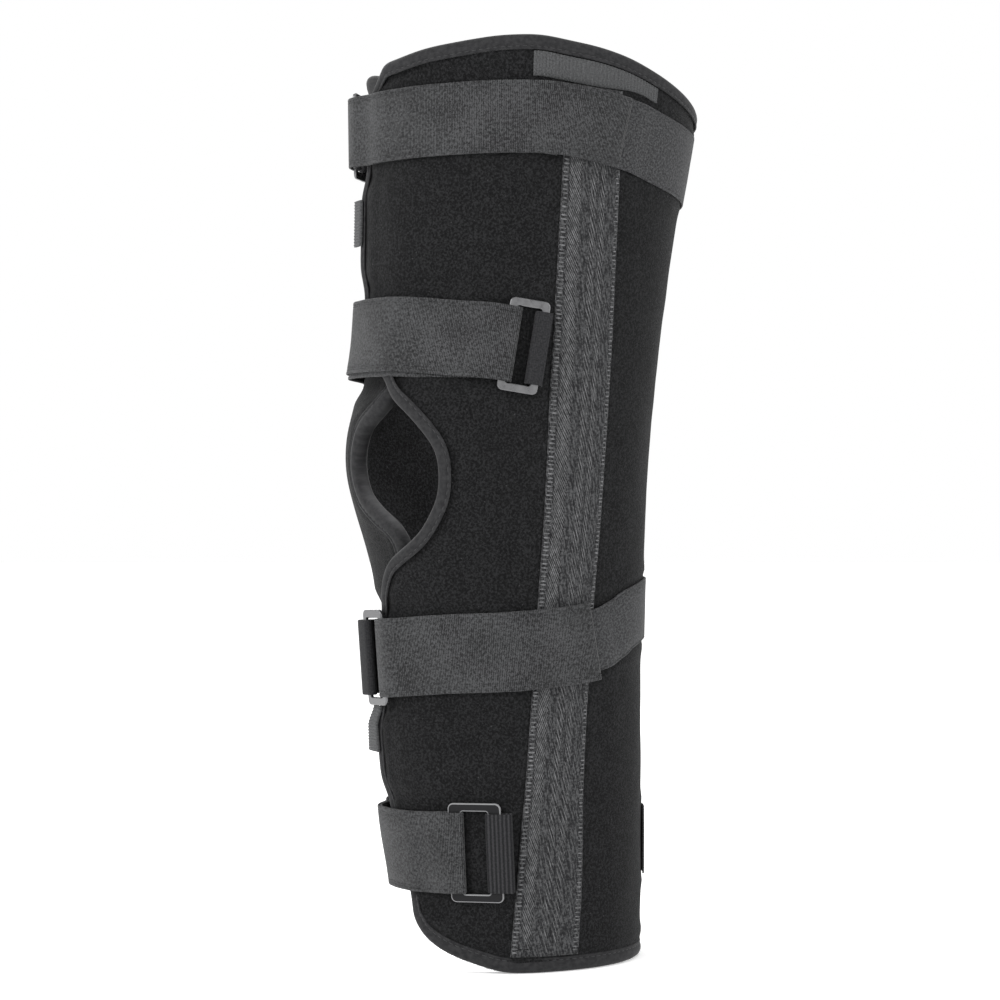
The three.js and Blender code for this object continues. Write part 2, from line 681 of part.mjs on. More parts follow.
function makeTab(row) {
  const ring = ringPlace(row);
  const { held } = ring;
  const arc = kneeFront * degrees;
  const stop = -tapeFront(row, -82);
  const clear = held.along - (held.wide / 2 + 2.5 * fit) / arc;
  const path = [];
  for (const along of stations(stop, clear)) {
    const near = ease(clear - 14, clear, along);
    const rest = underStrap(row, along) + lowLayer;
    path.push({ along, hold: near, out: rest + Math.max(0, held.out - ringGap - rest) * near });
  }
  path.push(...turnRound(held, -1));
  for (const along of stations(clear, stop)) {
    const near = ease(clear - 14, clear, along);
    const rest = underStrap(row, along) + pairLayer;
    path.push({ along, hold: near, out: rest + Math.max(0, held.out + ringGap - rest) * near });
  }
  const middle = (around) => strapAt(row.name, row.way * around);
  const turned = path.map((p) => ({ ...p, around: row.way * p.along }));
  return band(turned, middle, strapWidth * row.wide * 0.97, webbing, { ...ring, bar: held });
}

function makeRing(row) {
  const wide = ringWidth * row.ringWide;
  const tall = strapWidth * row.wide + 2 * (ringEndBar + ringPlay);
  const corner = ringEndBar * 0.7;
  const shape = new THREE.Shape();
  shape.moveTo(-wide / 2 + corner, -tall / 2);
  shape.lineTo(wide / 2 - corner, -tall / 2);
  shape.absarc(wide / 2 - corner, -tall / 2 + corner, corner, -Math.PI / 2, 0, false);
  shape.lineTo(wide / 2, tall / 2 - corner);
  shape.absarc(wide / 2 - corner, tall / 2 - corner, corner, 0, Math.PI / 2, false);
  shape.lineTo(-wide / 2 + corner, tall / 2);
  shape.absarc(-wide / 2 + corner, tall / 2 - corner, corner, Math.PI / 2, Math.PI, false);
  shape.lineTo(-wide / 2, -tall / 2 + corner);
  shape.absarc(-wide / 2 + corner, -tall / 2 + corner, corner, Math.PI, 1.5 * Math.PI, false);
  const w = wide / 2 - ringSideBar * row.bar;
  const h = tall / 2 - ringEndBar;
  const window = new THREE.Path();
  window.moveTo(-w, -h);
  window.lineTo(-w, h);
  window.lineTo(w, h);
  window.lineTo(w, -h);
  window.closePath();
  shape.holes.push(window);
  const geometry = new THREE.ExtrudeGeometry(shape, { depth: ringThick, bevelEnabled: false, curveSegments: 3 });
  geometry.translate(0, 0, -ringThick / 2);
  return geometry;
}

function placeRing(mesh, row) {
  const { origin, across, up, face } = ringPlace(row);
  mesh.quaternion.setFromRotationMatrix(new THREE.Matrix4().makeBasis(across, up, face));
  mesh.position.copy(origin);
}

// Patch between two heights and two angles that lies at an offset from the skin.
function patch(place, acrossSteps, upSteps, from, to) {
  const sections = [];
  for (let k = 0; k <= upSteps; k += 1) {
    const row = [];
    for (let i = 0; i <= acrossSteps; i += 1) row.push(place((2 * i) / acrossSteps - 1, k / upSteps));
    const near = row.map(([around, z, lift]) => skin(around, z, from + lift));
    const away = row.map(([around, z, lift]) => skin(around, z, to + lift));
    sections.push([...near, ...away.reverse()]);
  }
  return sweep(sections, false);
}

const bindingEnd = bindingLeg + 2 * fit;
const farSlopeLead = 4;

function rimTapeDepth(around) {
  return rimTapeTall * (1 - 0.4 * ease(92, 112, around));
}

// Flat tape up a side of the leg, on the outside or the inside of the wall.
function makeStay(side, inner) {
  const wide = inner ? stayCoverWidth : stayTapeWidth;
  const start = inner ? -wall - tapeSeat : tapeSeat;
  const stop = inner ? start - stayCover : start + stayTape;
  return patch((t, share) => {
    let around = 90;
    let z = share * height;
    for (let k = 0; k < 4; k += 1) {
      around = tapeMiddle(z) + (t * wide) / 2 / perDegree(tapeMiddle(z), z);
      const low = bottomEdge(side > 0 ? around : 360 + farSlopeLead - around) + bindingEnd;
      const high = topEdge(around) - bindingEnd - (inner ? 0 : rimTapeDepth(around) + 2 * fit);
      z = low + share * (high - low);
    }
    return [side * around, z, 0];
  }, 3, 16, start, stop);
}

// Short webbing strip under the top binding on the near side.
function makeRimTape() {
  return patch((t, share) => {
    const around = 95.5 + t * 21;
    return [around, topEdge(around) - bindingEnd - rimTapeDepth(around) * (1 - share), 0];
  }, 6, 1, tapeSeat, tapeSeat + stayTape);
}

// Small webbing tab on the binding of the near panel's front edge.
function makePullTab(middle, flared) {
  const arc = kneeFront * degrees;
  const out = rimInset + fit;
  return patch((t, share) => {
    const z = middle + (share - 0.5) * pullTabTall;
    const edge = nearEdge(middle) - pullTabWide / 3 / arc;
    const spread = t < 0 ? (flared * (1 - share) * pullTabWide) / arc : 0;
    const around = edge + ((t + 1) / 2) * (pullTabWide / arc) - spread;
    return [around, z, layer(around)];
  }, 2, 2, out, out + pullTabThick);
}

// Materials
function cloth(color, roughness) {
  return new THREE.MeshStandardMaterial({ color, roughness, metalness: 0 });
}
const foamCloth = cloth(0x2a2a2c, 0.98);
const bindingCloth = cloth(0x3a3a3d, 0.9);
const tapeCloth = cloth(0x4c4c50, 0.9);
const elasticCloth = cloth(0x606065, 0.92);
const hookCloth = cloth(0x2e2e31, 0.95);
const tabCloth = cloth(0x343437, 0.93);
const nickel = new THREE.MeshStandardMaterial({ color: 0xb9babc, roughness: 0.32, metalness: 1 });
const blackMetal = new THREE.MeshStandardMaterial({ color: 0x3a3a3d, roughness: 0.4, metalness: 0.6 });

// Assembly
const wrap = new THREE.Group();
function add(name, geometry, material) {
  const mesh = new THREE.Mesh(geometry, material);
  mesh.name = name;
  wrap.add(mesh);
  return mesh;
}

add('foam_panel', makePanel(), foamCloth);

const bottomStations = [];
for (let i = 0; i <= columnCount; i += 1) bottomStations.push([i, 0]);
add('bottom_binding', makeBinding(bottomStations, false), bindingCloth);
const edgeStations = [];
for (let j = 0; j <= rowCount; j += 1) edgeStations.push([0, j]);
for (let i = 1; i <= columnCount; i += 1) edgeStations.push([i, rowCount]);
for (let j = rowCount - 1; j >= 0; j -= 1) edgeStations.push([columnCount, j]);
add('edge_binding', makeBinding(edgeStations, true), bindingCloth);

add('near_stay_tape', makeStay(1, false), tapeCloth);
add('far_stay_tape', makeStay(-1, false), tapeCloth);
add('near_stay_cover', makeStay(1, true), tapeCloth);
add('far_stay_cover', makeStay(-1, true), tapeCloth);

add('near_rim_tape', makeRimTape(), tapeCloth);
add('upper_pull_tab', makePullTab(0.811 * height, 0), tapeCloth);
add('lower_pull_tab', makePullTab(0.258 * height, 0.5), tapeCloth);

for (const row of strapRows) {
  add(`${row.name}_strap`, makeStrap(row), elasticCloth);
  add(`${row.name}_hook_end`, makeHook(row), hookCloth);
  add(`${row.name}_tab`, makeTab(row), tabCloth);
  const ring = add(`${row.name}_ring`, makeRing(row), row.name === 'ankle' ? blackMetal : nickel);
  placeRing(ring, row);
}

// The origin is on the floor below the middle of the whole.
wrap.updateMatrixWorld(true);
const box = new THREE.Box3().setFromObject(wrap, true);
const stand = new THREE.Group();
wrap.position.set(-(box.min.x + box.max.x) / 2, -(box.min.y + box.max.y) / 2, -box.min.z);
stand.add(wrap);

export default stand;
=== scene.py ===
# A knee immobilizer standing on its bottom rim: a foam panel wrapped round a
# straight leg, bound at its edges, held by four webbing straps that turn back
# through rings. Lengths are in millimetres from the leg's axis until a piece is
# set in place.
import math

import bmesh
import bpy
from mathutils import Matrix, Vector, noise


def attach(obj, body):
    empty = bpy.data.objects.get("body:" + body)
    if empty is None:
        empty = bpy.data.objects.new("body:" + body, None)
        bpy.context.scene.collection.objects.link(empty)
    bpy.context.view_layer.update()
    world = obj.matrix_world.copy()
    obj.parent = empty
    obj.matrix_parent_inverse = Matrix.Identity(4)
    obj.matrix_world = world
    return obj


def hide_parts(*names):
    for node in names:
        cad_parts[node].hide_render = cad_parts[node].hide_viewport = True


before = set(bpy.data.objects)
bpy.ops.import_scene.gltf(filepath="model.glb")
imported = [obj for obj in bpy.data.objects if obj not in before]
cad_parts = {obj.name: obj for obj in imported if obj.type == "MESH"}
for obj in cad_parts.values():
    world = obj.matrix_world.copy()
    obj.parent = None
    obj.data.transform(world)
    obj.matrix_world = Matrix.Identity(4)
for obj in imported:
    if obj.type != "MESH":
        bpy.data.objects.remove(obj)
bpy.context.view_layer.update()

# View. A long lens stands level with the middle of the leg, turned 66 degrees
# from its front toward the near side. The leg's axis lies a little off the
# middle of the part.
leg_axis = Vector((-0.991, -5.637, 0.0))
view_turn = math.radians(66)
toward_lens = Vector((math.sin(view_turn), -math.cos(view_turn), 0))
rightward = Vector((math.cos(view_turn), math.sin(view_turn), 0))
camera = bpy.data.objects.new("camera", bpy.data.cameras.new("camera"))
camera.data.lens = 92.63
camera.data.sensor_width = 36
lens_away, lens_left, lens_up = 1441, 6.7, 254
lens_spot = leg_axis + lens_away * toward_lens - lens_left * rightward + Vector((0, 0, lens_up))
camera.location = 0.001 * lens_spot
camera.rotation_euler = (math.pi / 2, 0, view_turn)
bpy.context.scene.collection.objects.link(camera)
bpy.context.scene.camera = camera
bpy.context.scene.view_settings.view_transform = "Standard"

# Studio. A wide white floor under a white room, with a large soft box high on
# the left of the lens, a weaker one on its right and one behind for the rims. A
# small one hangs in the hollow, so that its lining shows through the cutout.
floor_mesh = bpy.data.meshes.new("floor")
floor_card = bmesh.new()
bmesh.ops.create_circle(floor_card, cap_ends=True, segments=96, radius=9)
floor_card.to_mesh(floor_mesh)
floor_card.free()
floor = bpy.data.objects.new("floor", floor_mesh)
bpy.context.scene.collection.objects.link(floor)
floor_paint = bpy.data.materials.new("floor_paint")
floor_paint.use_nodes = True
floor_shader = floor_paint.node_tree.nodes["Principled BSDF"]
floor_shader.inputs["Base Color"].default_value = (0.9, 0.9, 0.9, 1)
floor_shader.inputs["Roughness"].default_value = 0.9
floor_shader.inputs["Specular IOR Level"].default_value = 0.1
floor_shader.inputs["Emission Color"].default_value = (1, 1, 1, 1)
floor_shader.inputs["Emission Strength"].default_value = 0.35
floor_mesh.materials.append(floor_paint)

room = bpy.data.worlds.new("room")
room.use_nodes = True
room.node_tree.nodes["Background"].inputs["Color"].default_value = (1, 1, 1, 1)
room.node_tree.nodes["Background"].inputs["Strength"].default_value = 1.0
bpy.context.scene.world = room
aimed_up = 0.27


def soft_box(name, right, up, near, size, power, spread=180):
    """A square lamp, placed in metres from the origin as the lens sees it."""
    lamp = bpy.data.objects.new(name, bpy.data.lights.new(name, "AREA"))
    lamp.data.size = size
    lamp.data.energy = power
    lamp.data.spread = math.radians(spread)
    lamp.location = right * rightward + near * toward_lens + Vector((0, 0, up))
    aim = Vector((0, 0, aimed_up)) - lamp.location
    lamp.rotation_euler = aim.to_track_quat("-Z", "Y").to_euler()
    lamp.visible_camera = False
    bpy.context.scene.collection.objects.link(lamp)


soft_box("left_box", -1.3, 1.3, 1.3, 0.9, 26)
soft_box("right_box", 1.6, 0.8, 0.9, 1.0, 9)
soft_box("rear_box", -0.6, 1.5, -1.4, 1.0, 12)
soft_box("hollow_box", 0.0, 0.46, 0.0, 0.09, 0.34, spread=85)


# Finishes. A reading is one value that changes over a cloth. A finish is the
# node tree of one cloth or metal, with its readings.
class Reading:
    def __init__(self, finish, socket):
        self.finish = finish
        self.socket = socket

    def worked(self, operation, other):
        return self.finish.add("Math", {"operation": operation}, {0: self, 1: other})

    def __add__(self, other):
        return self.worked("ADD", other)

    def __mul__(self, other):
        return self.worked("MULTIPLY", other)

    def __lt__(self, other):
        return self.worked("LESS_THAN", other)

    def sine(self):
        return self.finish.add("Math", {"operation": "SINE"}, {0: self})


class Finish:
    def __init__(self, name, roughness, specular=0.2, metal=0.0, sheen=0.0):
        self.material = bpy.data.materials.new(name)
        self.material.use_nodes = True
        self.nodes = self.material.node_tree.nodes
        self.shader = self.nodes["Principled BSDF"]
        self.put("Roughness", roughness)
        self.put("Specular IOR Level", specular)
        self.put("Metallic", metal)
        self.put("Sheen Weight", sheen)
        self.put("Sheen Roughness", 0.4)

    def feed(self, socket, value):
        if isinstance(value, Reading):
            self.material.node_tree.links.new(value.socket, socket)
        else:
            socket.default_value = value

    def put(self, name, value):
        self.feed(self.shader.inputs[name], value)

    def add(self, kind, settings, values, out=0):
        node = self.nodes.new("ShaderNode" + kind)
        for name, value in settings.items():
            setattr(node, name, value)
        for key, value in values.items():
            self.feed(node.inputs[key], value)
        return Reading(self, node.outputs[out])

    def body_mm(self):
        """Place in the part, in millimetres."""
        place = self.add("TexCoord", {}, {}, out="Object")
        return self.add("Mapping", {}, {"Vector": place, "Scale": (1000, 1000, 1000)})

    def cloth_mm(self):
        """Place in a band, along and across it, in millimetres."""
        place = self.add("UVMap", {"uv_map": "run"}, {})
        return self.add("Mapping", {}, {"Vector": place, "Scale": (1000, 1000, 1)})

    def axes(self, place):
        node = self.add("SeparateXYZ", {}, {0: place}).socket.node
        return Reading(self, node.outputs["X"]), Reading(self, node.outputs["Y"])

    def grain(self, place, size, detail=3.0, rough=0.6):
        values = {"Vector": place, "Scale": 1 / size, "Detail": detail, "Roughness": rough}
        return self.add("TexNoise", {}, values)

    def eased(self, value, low, high, first=0.0, last=1.0):
        values = {"Value": value, "From Min": low, "From Max": high, "To Min": first, "To Max": last}
        return self.add("MapRange", {"interpolation_type": "SMOOTHSTEP"}, values)

    def dyed(self, share, dark, light):
        colours = {0: share, 6: (*dark, 1), 7: (*light, 1)}
        return self.add("Mix", {"data_type": "RGBA"}, colours, out=2)

    def raised(self, height, depth, strength=1.0):
        values = {"Height": height, "Distance": depth / 1000, "Strength": strength}
        self.put("Normal", self.add("Bump", {}, values))


# Foam panel. One sheet of foam laminate between two faces of black brushed loop
# cloth, wrapped round the leg with its near front edge over its far one, and
# cut out round the kneecap. It puffs up beside its binding, tapes and straps.
height = 500.0
ankle_width, thigh_width = 124.0, 172.0
ankle_front, knee_front = 62.0, 83.0
calf_back, thigh_back = 70.8, 109.0
corner_square = 2.2
wall = 6.0
overlap_from, overlap_to = 12.0, 52.0
cutout_height, cutout_middle, cutout_reach, far_cutout_reach = 120.0, 265.0, 44.5, 3.0
lip_flare, lip_flare_height, lip_flare_up = 14.5, 46.0, 10.0
strap_pull, strap_pull_past, strap_pull_fade = 3.4, 4.5, 12.0
strap_pull_from, strap_pull_to = 30.0, 75.0
near_calf_edge, near_thigh_edge = -1.0, -5.0
far_calf_edge, far_thigh_edge = 22.0, 17.0
edge_blend = 50.0
fit, binding, binding_leg, seam = 0.4, 1.0, 7.0, 0.5
rim_inset = binding + seam
overlap_lift = (wall + 2 * rim_inset + fit) / 2
panel_start, panel_end = 3.0, 371.0
degree = math.radians(1)


class Guide:
    """A smooth line through one column of a table, by the table's first column."""

    def __init__(self, rows, column):
        self.keys = [row[0] for row in rows]
        self.values = [row[column] for row in rows]
        pairs = zip(zip(self.keys, self.values), zip(self.keys[1:], self.values[1:]))
        self.slopes = [(v1 - v0) / (k1 - k0) for (k0, v0), (k1, v1) in pairs]

    def __call__(self, at):
        keys, values, slopes = self.keys, self.values, self.slopes
        if at <= keys[0]:
            return values[0]
        if at >= keys[-1]:
            return values[-1]
        k = 0
        while at > keys[k + 1]:
            k += 1
        here = slopes[k]
        before = slopes[k - 1] if k else here
        after = slopes[k + 1] if k + 1 < len(slopes) else here
        span = keys[k + 1] - keys[k]
        start = 0.0 if before * here <= 0 else 2 * before * here / (before + here) * span
        stop = 0.0 if after * here <= 0 else 2 * after * here / (after + here) * span
        t = (at - keys[k]) / span
        bend = (2 * t**3 - 3 * t**2 + 1) * values[k] + (t**3 - 2 * t**2 + t) * start
        return bend + (3 * t**2 - 2 * t**3) * values[k + 1] + (t**3 - t**2) * stop


# Leg shape by height: share of the half width, front reach and back reach.
leg_rows = (
    (0.000, 0.00, 0.00, 0.005),
    (0.082, 0.08, 0.14, 0.030),
    (0.158, 0.15, 0.43, 0.020),
    (0.234, 0.19, 0.60, 0.005),
    (0.284, 0.21, 0.69, 0.000),
    (0.396, 0.29, 0.81, 0.015),
    (0.492, 0.42, 0.90, 0.065),
    (0.598, 0.54, 0.97, 0.155),
    (0.698, 0.69, 1.00, 0.300),
    (0.788, 0.79, 0.96, 0.490),
    (0.838, 0.85, 0.94, 0.607),
    (0.890, 0.90, 0.94, 0.746),
    (0.950, 0.94, 0.95, 0.895),
    (1.000, 1.00, 0.94, 1.000),
)
leg_side, leg_front, leg_back = (Guide(leg_rows, column) for column in (1, 2, 3))

# Rim by degrees from the front: how far the top lies low and the bottom high,
# on the near side and on the far one.
rim_rows = (
    (17, 0.0190, 0.0400, 0.1040),
    (20, 0.0172, 0.0350, 0.1040),
    (25, 0.0145, 0.0275, 0.1040),
    (33, 0.0105, 0.0192, 0.1020),
    (41, 0.0080, 0.0130, 0.1005),
    (52, 0.0045, 0.0070, 0.0810),
    (62, 0.0015, 0.0010, 0.0330),
    (70, 0.0005, 0.0000, 0.0040),
    (76, 0.0000, 0.0000, 0.0000),
    (85, 0.0035, 0.0000, 0.0000),
    (94, 0.0080, 0.0000, 0.0000),
    (104, 0.0155, 0.0000, 0.0000),
    (116, 0.0280, 0.0000, 0.0000),
    (138, 0.0480, 0.0000, 0.0000),
    (155, 0.0580, 0.0000, 0.0000),
    (180, 0.0620, 0.0000, 0.0000),
)
rim_top, rim_bottom, rim_far_bottom = (Guide(rim_rows, column) for column in (1, 2, 3))

# Rounded front corners: degrees that the near and far edge lie back, by height.
corner_rows = (
    (0.040, 18.5, 57.0),
    (0.048, 14.0, 57.0),
    (0.061, 11.0, 53.0),
    (0.080, 8.5, 47.0),
    (0.105, 6.5, 37.0),
    (0.135, 4.0, 25.0),
    (0.170, 1.5, 12.0),
    (0.200, 0.0, 4.0),
    (0.250, 0.0, 0.0),
    (0.910, 0.0, 0.0),
    (0.930, 0.7, 6.0),
    (0.945, 2.2, 18.0),
    (0.955, 4.2, 30.0),
    (0.964, 7.5, 42.0),
    (0.975, 14.0, 50.0),
)
near_corner, far_corner = Guide(corner_rows, 1), Guide(corner_rows, 2)

# Kneecap cutout: near and far edge's share of its reach, by half its height.
cutout_rows = (
    (-1.45, 0.00, 0.00),
    (-1.03, 0.21, 0.00),
    (-0.78, 0.36, 0.00),
    (-0.59, 0.58, 0.00),
    (-0.44, 0.76, 0.09),
    (-0.27, 0.88, 0.55),
    (-0.09, 0.97, 0.92),
    (0.05, 0.99, 0.99),
    (0.18, 0.99, 1.00),
    (0.31, 0.96, 0.94),
    (0.44, 0.87, 0.83),
    (0.63, 0.69, 0.26),
    (0.75, 0.54, 0.02),
    (0.86, 0.44, 0.00),
    (1.00, 0.30, 0.00),
    (1.40, 0.00, 0.00),
)
near_cutout, far_cutout = Guide(cutout_rows, 1), Guide(cutout_rows, 2)

# Straps: the way round, the ring's place and width share, its bars' share, the
# strap's width share, sag and end, and the hook end's place and width share. Each
# place is an angle from the front in the strap's own way.
strap_width = 40.0
straps = {
    "upper_thigh": dict(
        way=1, ring=-21, ring_wide=1.00, bar=1.0, wide=0.95, sag=0.0,
        end=103, hook=(90, 212), hook_wide=0.95,
    ),
    "lower_thigh": dict(
        way=-1, ring=-73, ring_wide=0.92, bar=1.1, wide=1.00, sag=0.07,
        end=103, hook=(90, 165), hook_wide=0.95,
    ),
    "upper_calf": dict(
        way=1, ring=3, ring_wide=1.00, bar=1.0, wide=1.06, sag=0.0,
        end=101, hook=(90, 200), hook_wide=0.84,
    ),
    "ankle": dict(
        way=-1, ring=-52, ring_wide=1.22, bar=1.8, wide=1.10, sag=0.0,
        end=101, hook=(90, 209), hook_wide=0.95,
    ),
}

# Middle of each strap: share of the height, by angle in the strap's own way.
strap_rows = {
    "upper_thigh": (
        (-60, 0.914), (-20, 0.913), (12, 0.911), (75, 0.912), (88, 0.909), (98, 0.903),
        (112, 0.894), (125, 0.885), (145, 0.877), (180, 0.872), (215, 0.875),
    ),
    "lower_thigh": (
        (-85, 0.665), (-65, 0.674), (-45, 0.680), (-17, 0.686), (1, 0.6865), (60, 0.682),
        (110, 0.668), (170, 0.655),
    ),
    "upper_calf": (
        (-60, 0.330), (8, 0.337), (46, 0.344), (66, 0.346), (87, 0.351), (102, 0.357),
        (118, 0.370), (125, 0.378), (150, 0.388), (205, 0.390),
    ),
    "ankle": (
        (-75, 0.1314), (-50, 0.1310), (-25, 0.1290), (-2, 0.1280), (60, 0.1290), (210, 0.1290),
    ),
}
strap_lines = {name: Guide(rows, 1) for name, rows in strap_rows.items()}


def strap_at(name, along):
    return strap_lines[name](along) * height


def ease(start, stop, at):
    t = min(1.0, max(0.0, (at - start) / (stop - start)))
    return t * t * (3 - 2 * t)


def from_front(around):
    around %= 360
    return around - 360 if around > 180 else around


strap_fronts = [
    (strap_at(name, 0), strap_width * strap["wide"] / 2 + strap_pull_past)
    for name, strap in straps.items()
]


def pulled(around, z):
    """How far the straps pull the foam in where they cross the front."""
    deepest = 0.0
    for middle, reach in strap_fronts:
        deepest = max(deepest, 1 - ease(0, strap_pull_fade, abs(z - middle) - reach))
    return strap_pull * deepest * (1 - ease(strap_pull_from, strap_pull_to, abs(from_front(around))))


def skin(around, z, out=0.0):
    """Outer face of the wrap at an angle from the front and a height."""
    up = z / height
    side = (ankle_width + (thigh_width - ankle_width) * leg_side(up)) / 2
    front = ankle_front + (knee_front - ankle_front) * leg_front(up)
    back = calf_back + (thigh_back - calf_back) * leg_back(up)
    s, c = math.sin(around * degree), math.cos(around * degree)
    x = side * math.copysign(abs(s) ** (2 / corner_square), s)
    y = -(front if c > 0 else back) * math.copysign(abs(c) ** (2 / corner_square), c)
    past = max(0.0, abs(from_front(around)) - cutout_reach + 2) / (cutout_reach / 2)
    rise = (z - cutout_middle - lip_flare_up) / lip_flare_height
    flare = lip_flare * math.exp(-past * past - rise * rise)
    k = 1 + (out + flare - pulled(around, z)) / math.hypot(x, y)
    return Vector((x * k, y * k, z))


def layer(u):
    """The near front edge lies over the far one, which comes round last."""
    if u < 180:
        return overlap_lift * (1 - ease(overlap_from, overlap_to, u))
    return -overlap_lift * (1 - ease(overlap_from, overlap_to, 360 - u))


def near_edge(z):
    blend = ease(cutout_middle - edge_blend, cutout_middle + edge_blend, z)
    low = near_calf_edge + (near_thigh_edge - near_calf_edge) * blend
    share = near_cutout((z - cutout_middle) / (cutout_height / 2))
    return low + (cutout_reach - low) * share + near_corner(z / height)


def far_edge(z):
    blend = ease(cutout_middle - edge_blend, cutout_middle + edge_blend, z)
    low = far_calf_edge + (far_thigh_edge - far_calf_edge) * blend
    share = far_cutout((z - cutout_middle) / (cutout_height / 2))
    return 360 + low - (far_cutout_reach + low) * share - far_corner(z / height)


def top_edge(u):
    return height - rim_top(abs(from_front(u))) * height - rim_inset


def bottom_edge(u):
    around = from_front(u)
    lift = rim_far_bottom(-around) if u > 180 else rim_bottom(around)
    return lift * height + rim_inset


def panel_spot(nominal, share):
    """Angle and height of a point of the panel, from its place in the flat sheet."""
    first = panel_start + binding_leg / (knee_front * degree)
    last = panel_end - binding_leg / (knee_front * degree)
    near_share = min(1.0, max(0.0, 1 - (nominal - first) / 120))
    far_share = min(1.0, max(0.0, 1 - (last - nominal) / 120))
    z = bottom_edge(20) + share * (top_edge(20) - bottom_edge(20))
    z_far = bottom_edge(340) + share * (top_edge(340) - bottom_edge(340))
    inset = rim_inset / (knee_front * degree)
    u = nominal + (near_edge(z) + inset - panel_start) * near_share
    u += (far_edge(z_far) - inset - panel_end) * far_share
    return u, bottom_edge(u) + share * (top_edge(u) - bottom_edge(u))


# Stay tape's middle by height, in degrees from the front.
tape_rows = (
    (0.0, 81.2),
    (0.1, 84.2),
    (0.2, 86.6),
    (0.3, 89.0),
    (0.4, 91.2),
    (0.5, 93.0),
    (0.6, 94.1),
    (0.7, 94.5),
    (0.88, 94.6),
    (1.0, 94.6),
)
tape_line = Guide(tape_rows, 1)
stay_tape_width = 36.0
edge_puff, tape_puff, strap_puff = 0.9, 0.45, 0.75
puff_reach, strap_puff_reach = 4.0, 5.0
tab_from, tab_held = -84, -78
hook_fade = 4


def puff(u, z):
    """How far the soft face stands off the plain skin of the wrap."""
    arc = knee_front * degree
    near_gap = (u - near_edge(z)) * arc
    far_gap = (far_edge(z) - u) * arc
    near_slope = (near_edge(z + 2) - near_edge(z - 2)) * arc / 4
    far_slope = (far_edge(z + 2) - far_edge(z - 2)) * arc / 4
    gaps = (near_gap / math.hypot(1, near_slope), far_gap / math.hypot(1, far_slope))
    gap = min(*gaps, top_edge(u) - z, z - bottom_edge(u)) - rim_inset
    rise = edge_puff * math.exp(-(((gap - binding_leg - puff_reach) / puff_reach) ** 2))
    around = from_front(u)
    side_gap = abs(abs(around) - tape_line(z / height)) * arc - stay_tape_width / 2
    rise += tape_puff * math.exp(-((max(0.0, side_gap) / puff_reach) ** 2))
    pressed = 0.0
    for name, strap in straps.items():
        stop = strap["hook"][1]
        along = strap["way"] * around
        if along < -100:
            along += 360
        if tab_from < along < stop:
            half = strap_width * strap["wide"] / 2
            edge = abs(z - strap_at(name, along)) - half
            held = ease(tab_from, tab_held, along) * (1 - ease(stop - hook_fade, stop, along))
            rise += strap_puff * held * math.exp(-((max(0.0, edge) / strap_puff_reach) ** 2))
            pressed = max(pressed, held * (1 - ease(-3.0, 0.5, edge)))
    place = Vector((u * arc, z, 0.0))
    soft = 0.55 * noise.noise(place / 46) + 0.22 * noise.noise(place / 17)
    return (rise + soft) * (1 - pressed) + 0.3 * pressed


leg_frame = Matrix.Scale(0.001, 4) @ Matrix.Translation(leg_axis)


def set_in_place(bm, name, finish, slot, *nodes):
    """Closes a piece's modelling and puts it where its solids stand."""
    bmesh.ops.transform(bm, matrix=leg_frame, verts=bm.verts)
    mesh = bpy.data.meshes.new(name)
    bm.to_mesh(mesh)
    bm.free()
    mesh.materials.append(finish.material)
    piece = bpy.data.objects.new(name, mesh)
    bpy.context.scene.collection.objects.link(piece)
    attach(piece, "root")
    if nodes:
        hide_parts(*nodes)
    return piece


loop_cloth = Finish("brushed_loop_cloth", 0.95, specular=0.12, sheen=0.05)
leg_place = loop_cloth.body_mm()
loop_fuzz = loop_cloth.grain(leg_place, 1.3, detail=4, rough=0.75)
loop_nap = loop_cloth.grain(leg_place, 14, detail=3)
loop_tone = loop_cloth.eased(loop_nap * 0.1 + loop_fuzz * 0.9, 0.42, 0.62)
loop_black = loop_cloth.dyed(loop_tone, (0.0035, 0.0036, 0.0038), (0.0165, 0.0167, 0.0175))
loop_lint = loop_cloth.add("TexVoronoi", {}, {"Vector": leg_place, "Scale": 0.26})
loop_specks = (loop_lint < 0.07) * loop_cloth.eased(loop_fuzz, 0.45, 0.62)
lint_mix = {0: loop_specks * 0.8, 6: loop_black, 7: (0.07, 0.07, 0.072, 1)}
loop_cloth.put("Base Color", loop_cloth.add("Mix", {"data_type": "RGBA"}, lint_mix, out=2))
loop_cloth.raised(loop_fuzz + loop_nap * 0.4, 0.45, strength=0.9)

panel_columns, panel_rows = 250, 180
edge_tuck = 0.8
rim_tuck, rim_span = 0.002, 0.996
flat_span = panel_end - panel_start - 2 * edge_tuck
panel = bmesh.new()
bmesh.ops.create_grid(panel, x_segments=panel_columns, y_segments=panel_rows, size=0.5)
for point in panel.verts:
    flat_around = panel_start + edge_tuck + (point.co.x + 0.5) * flat_span
    around, up = panel_spot(flat_around, rim_tuck + (point.co.y + 0.5) * rim_span)
    point.co = skin(around, up, layer(around) + puff(around, up))
for face in panel.faces:
    face.smooth = True
foam_panel = set_in_place(panel, "foam_panel_cloth", loop_cloth, "foam_laminate", "foam_panel")
foam_wall = foam_panel.modifiers.new("wall", "SOLIDIFY")
foam_wall.thickness = wall / 1000
foam_wall.offset = -1


# Binding. One knitted tape folded over the whole edge of the panel and sewn
# through both legs with black thread, so that the seam sinks into the foam and
# the tape puckers a little, most on the curves.
edge_samples, edge_spacing, edge_smoothing = 2400, 1.9, 14
bend_reach, full_bend = 6, 1.6


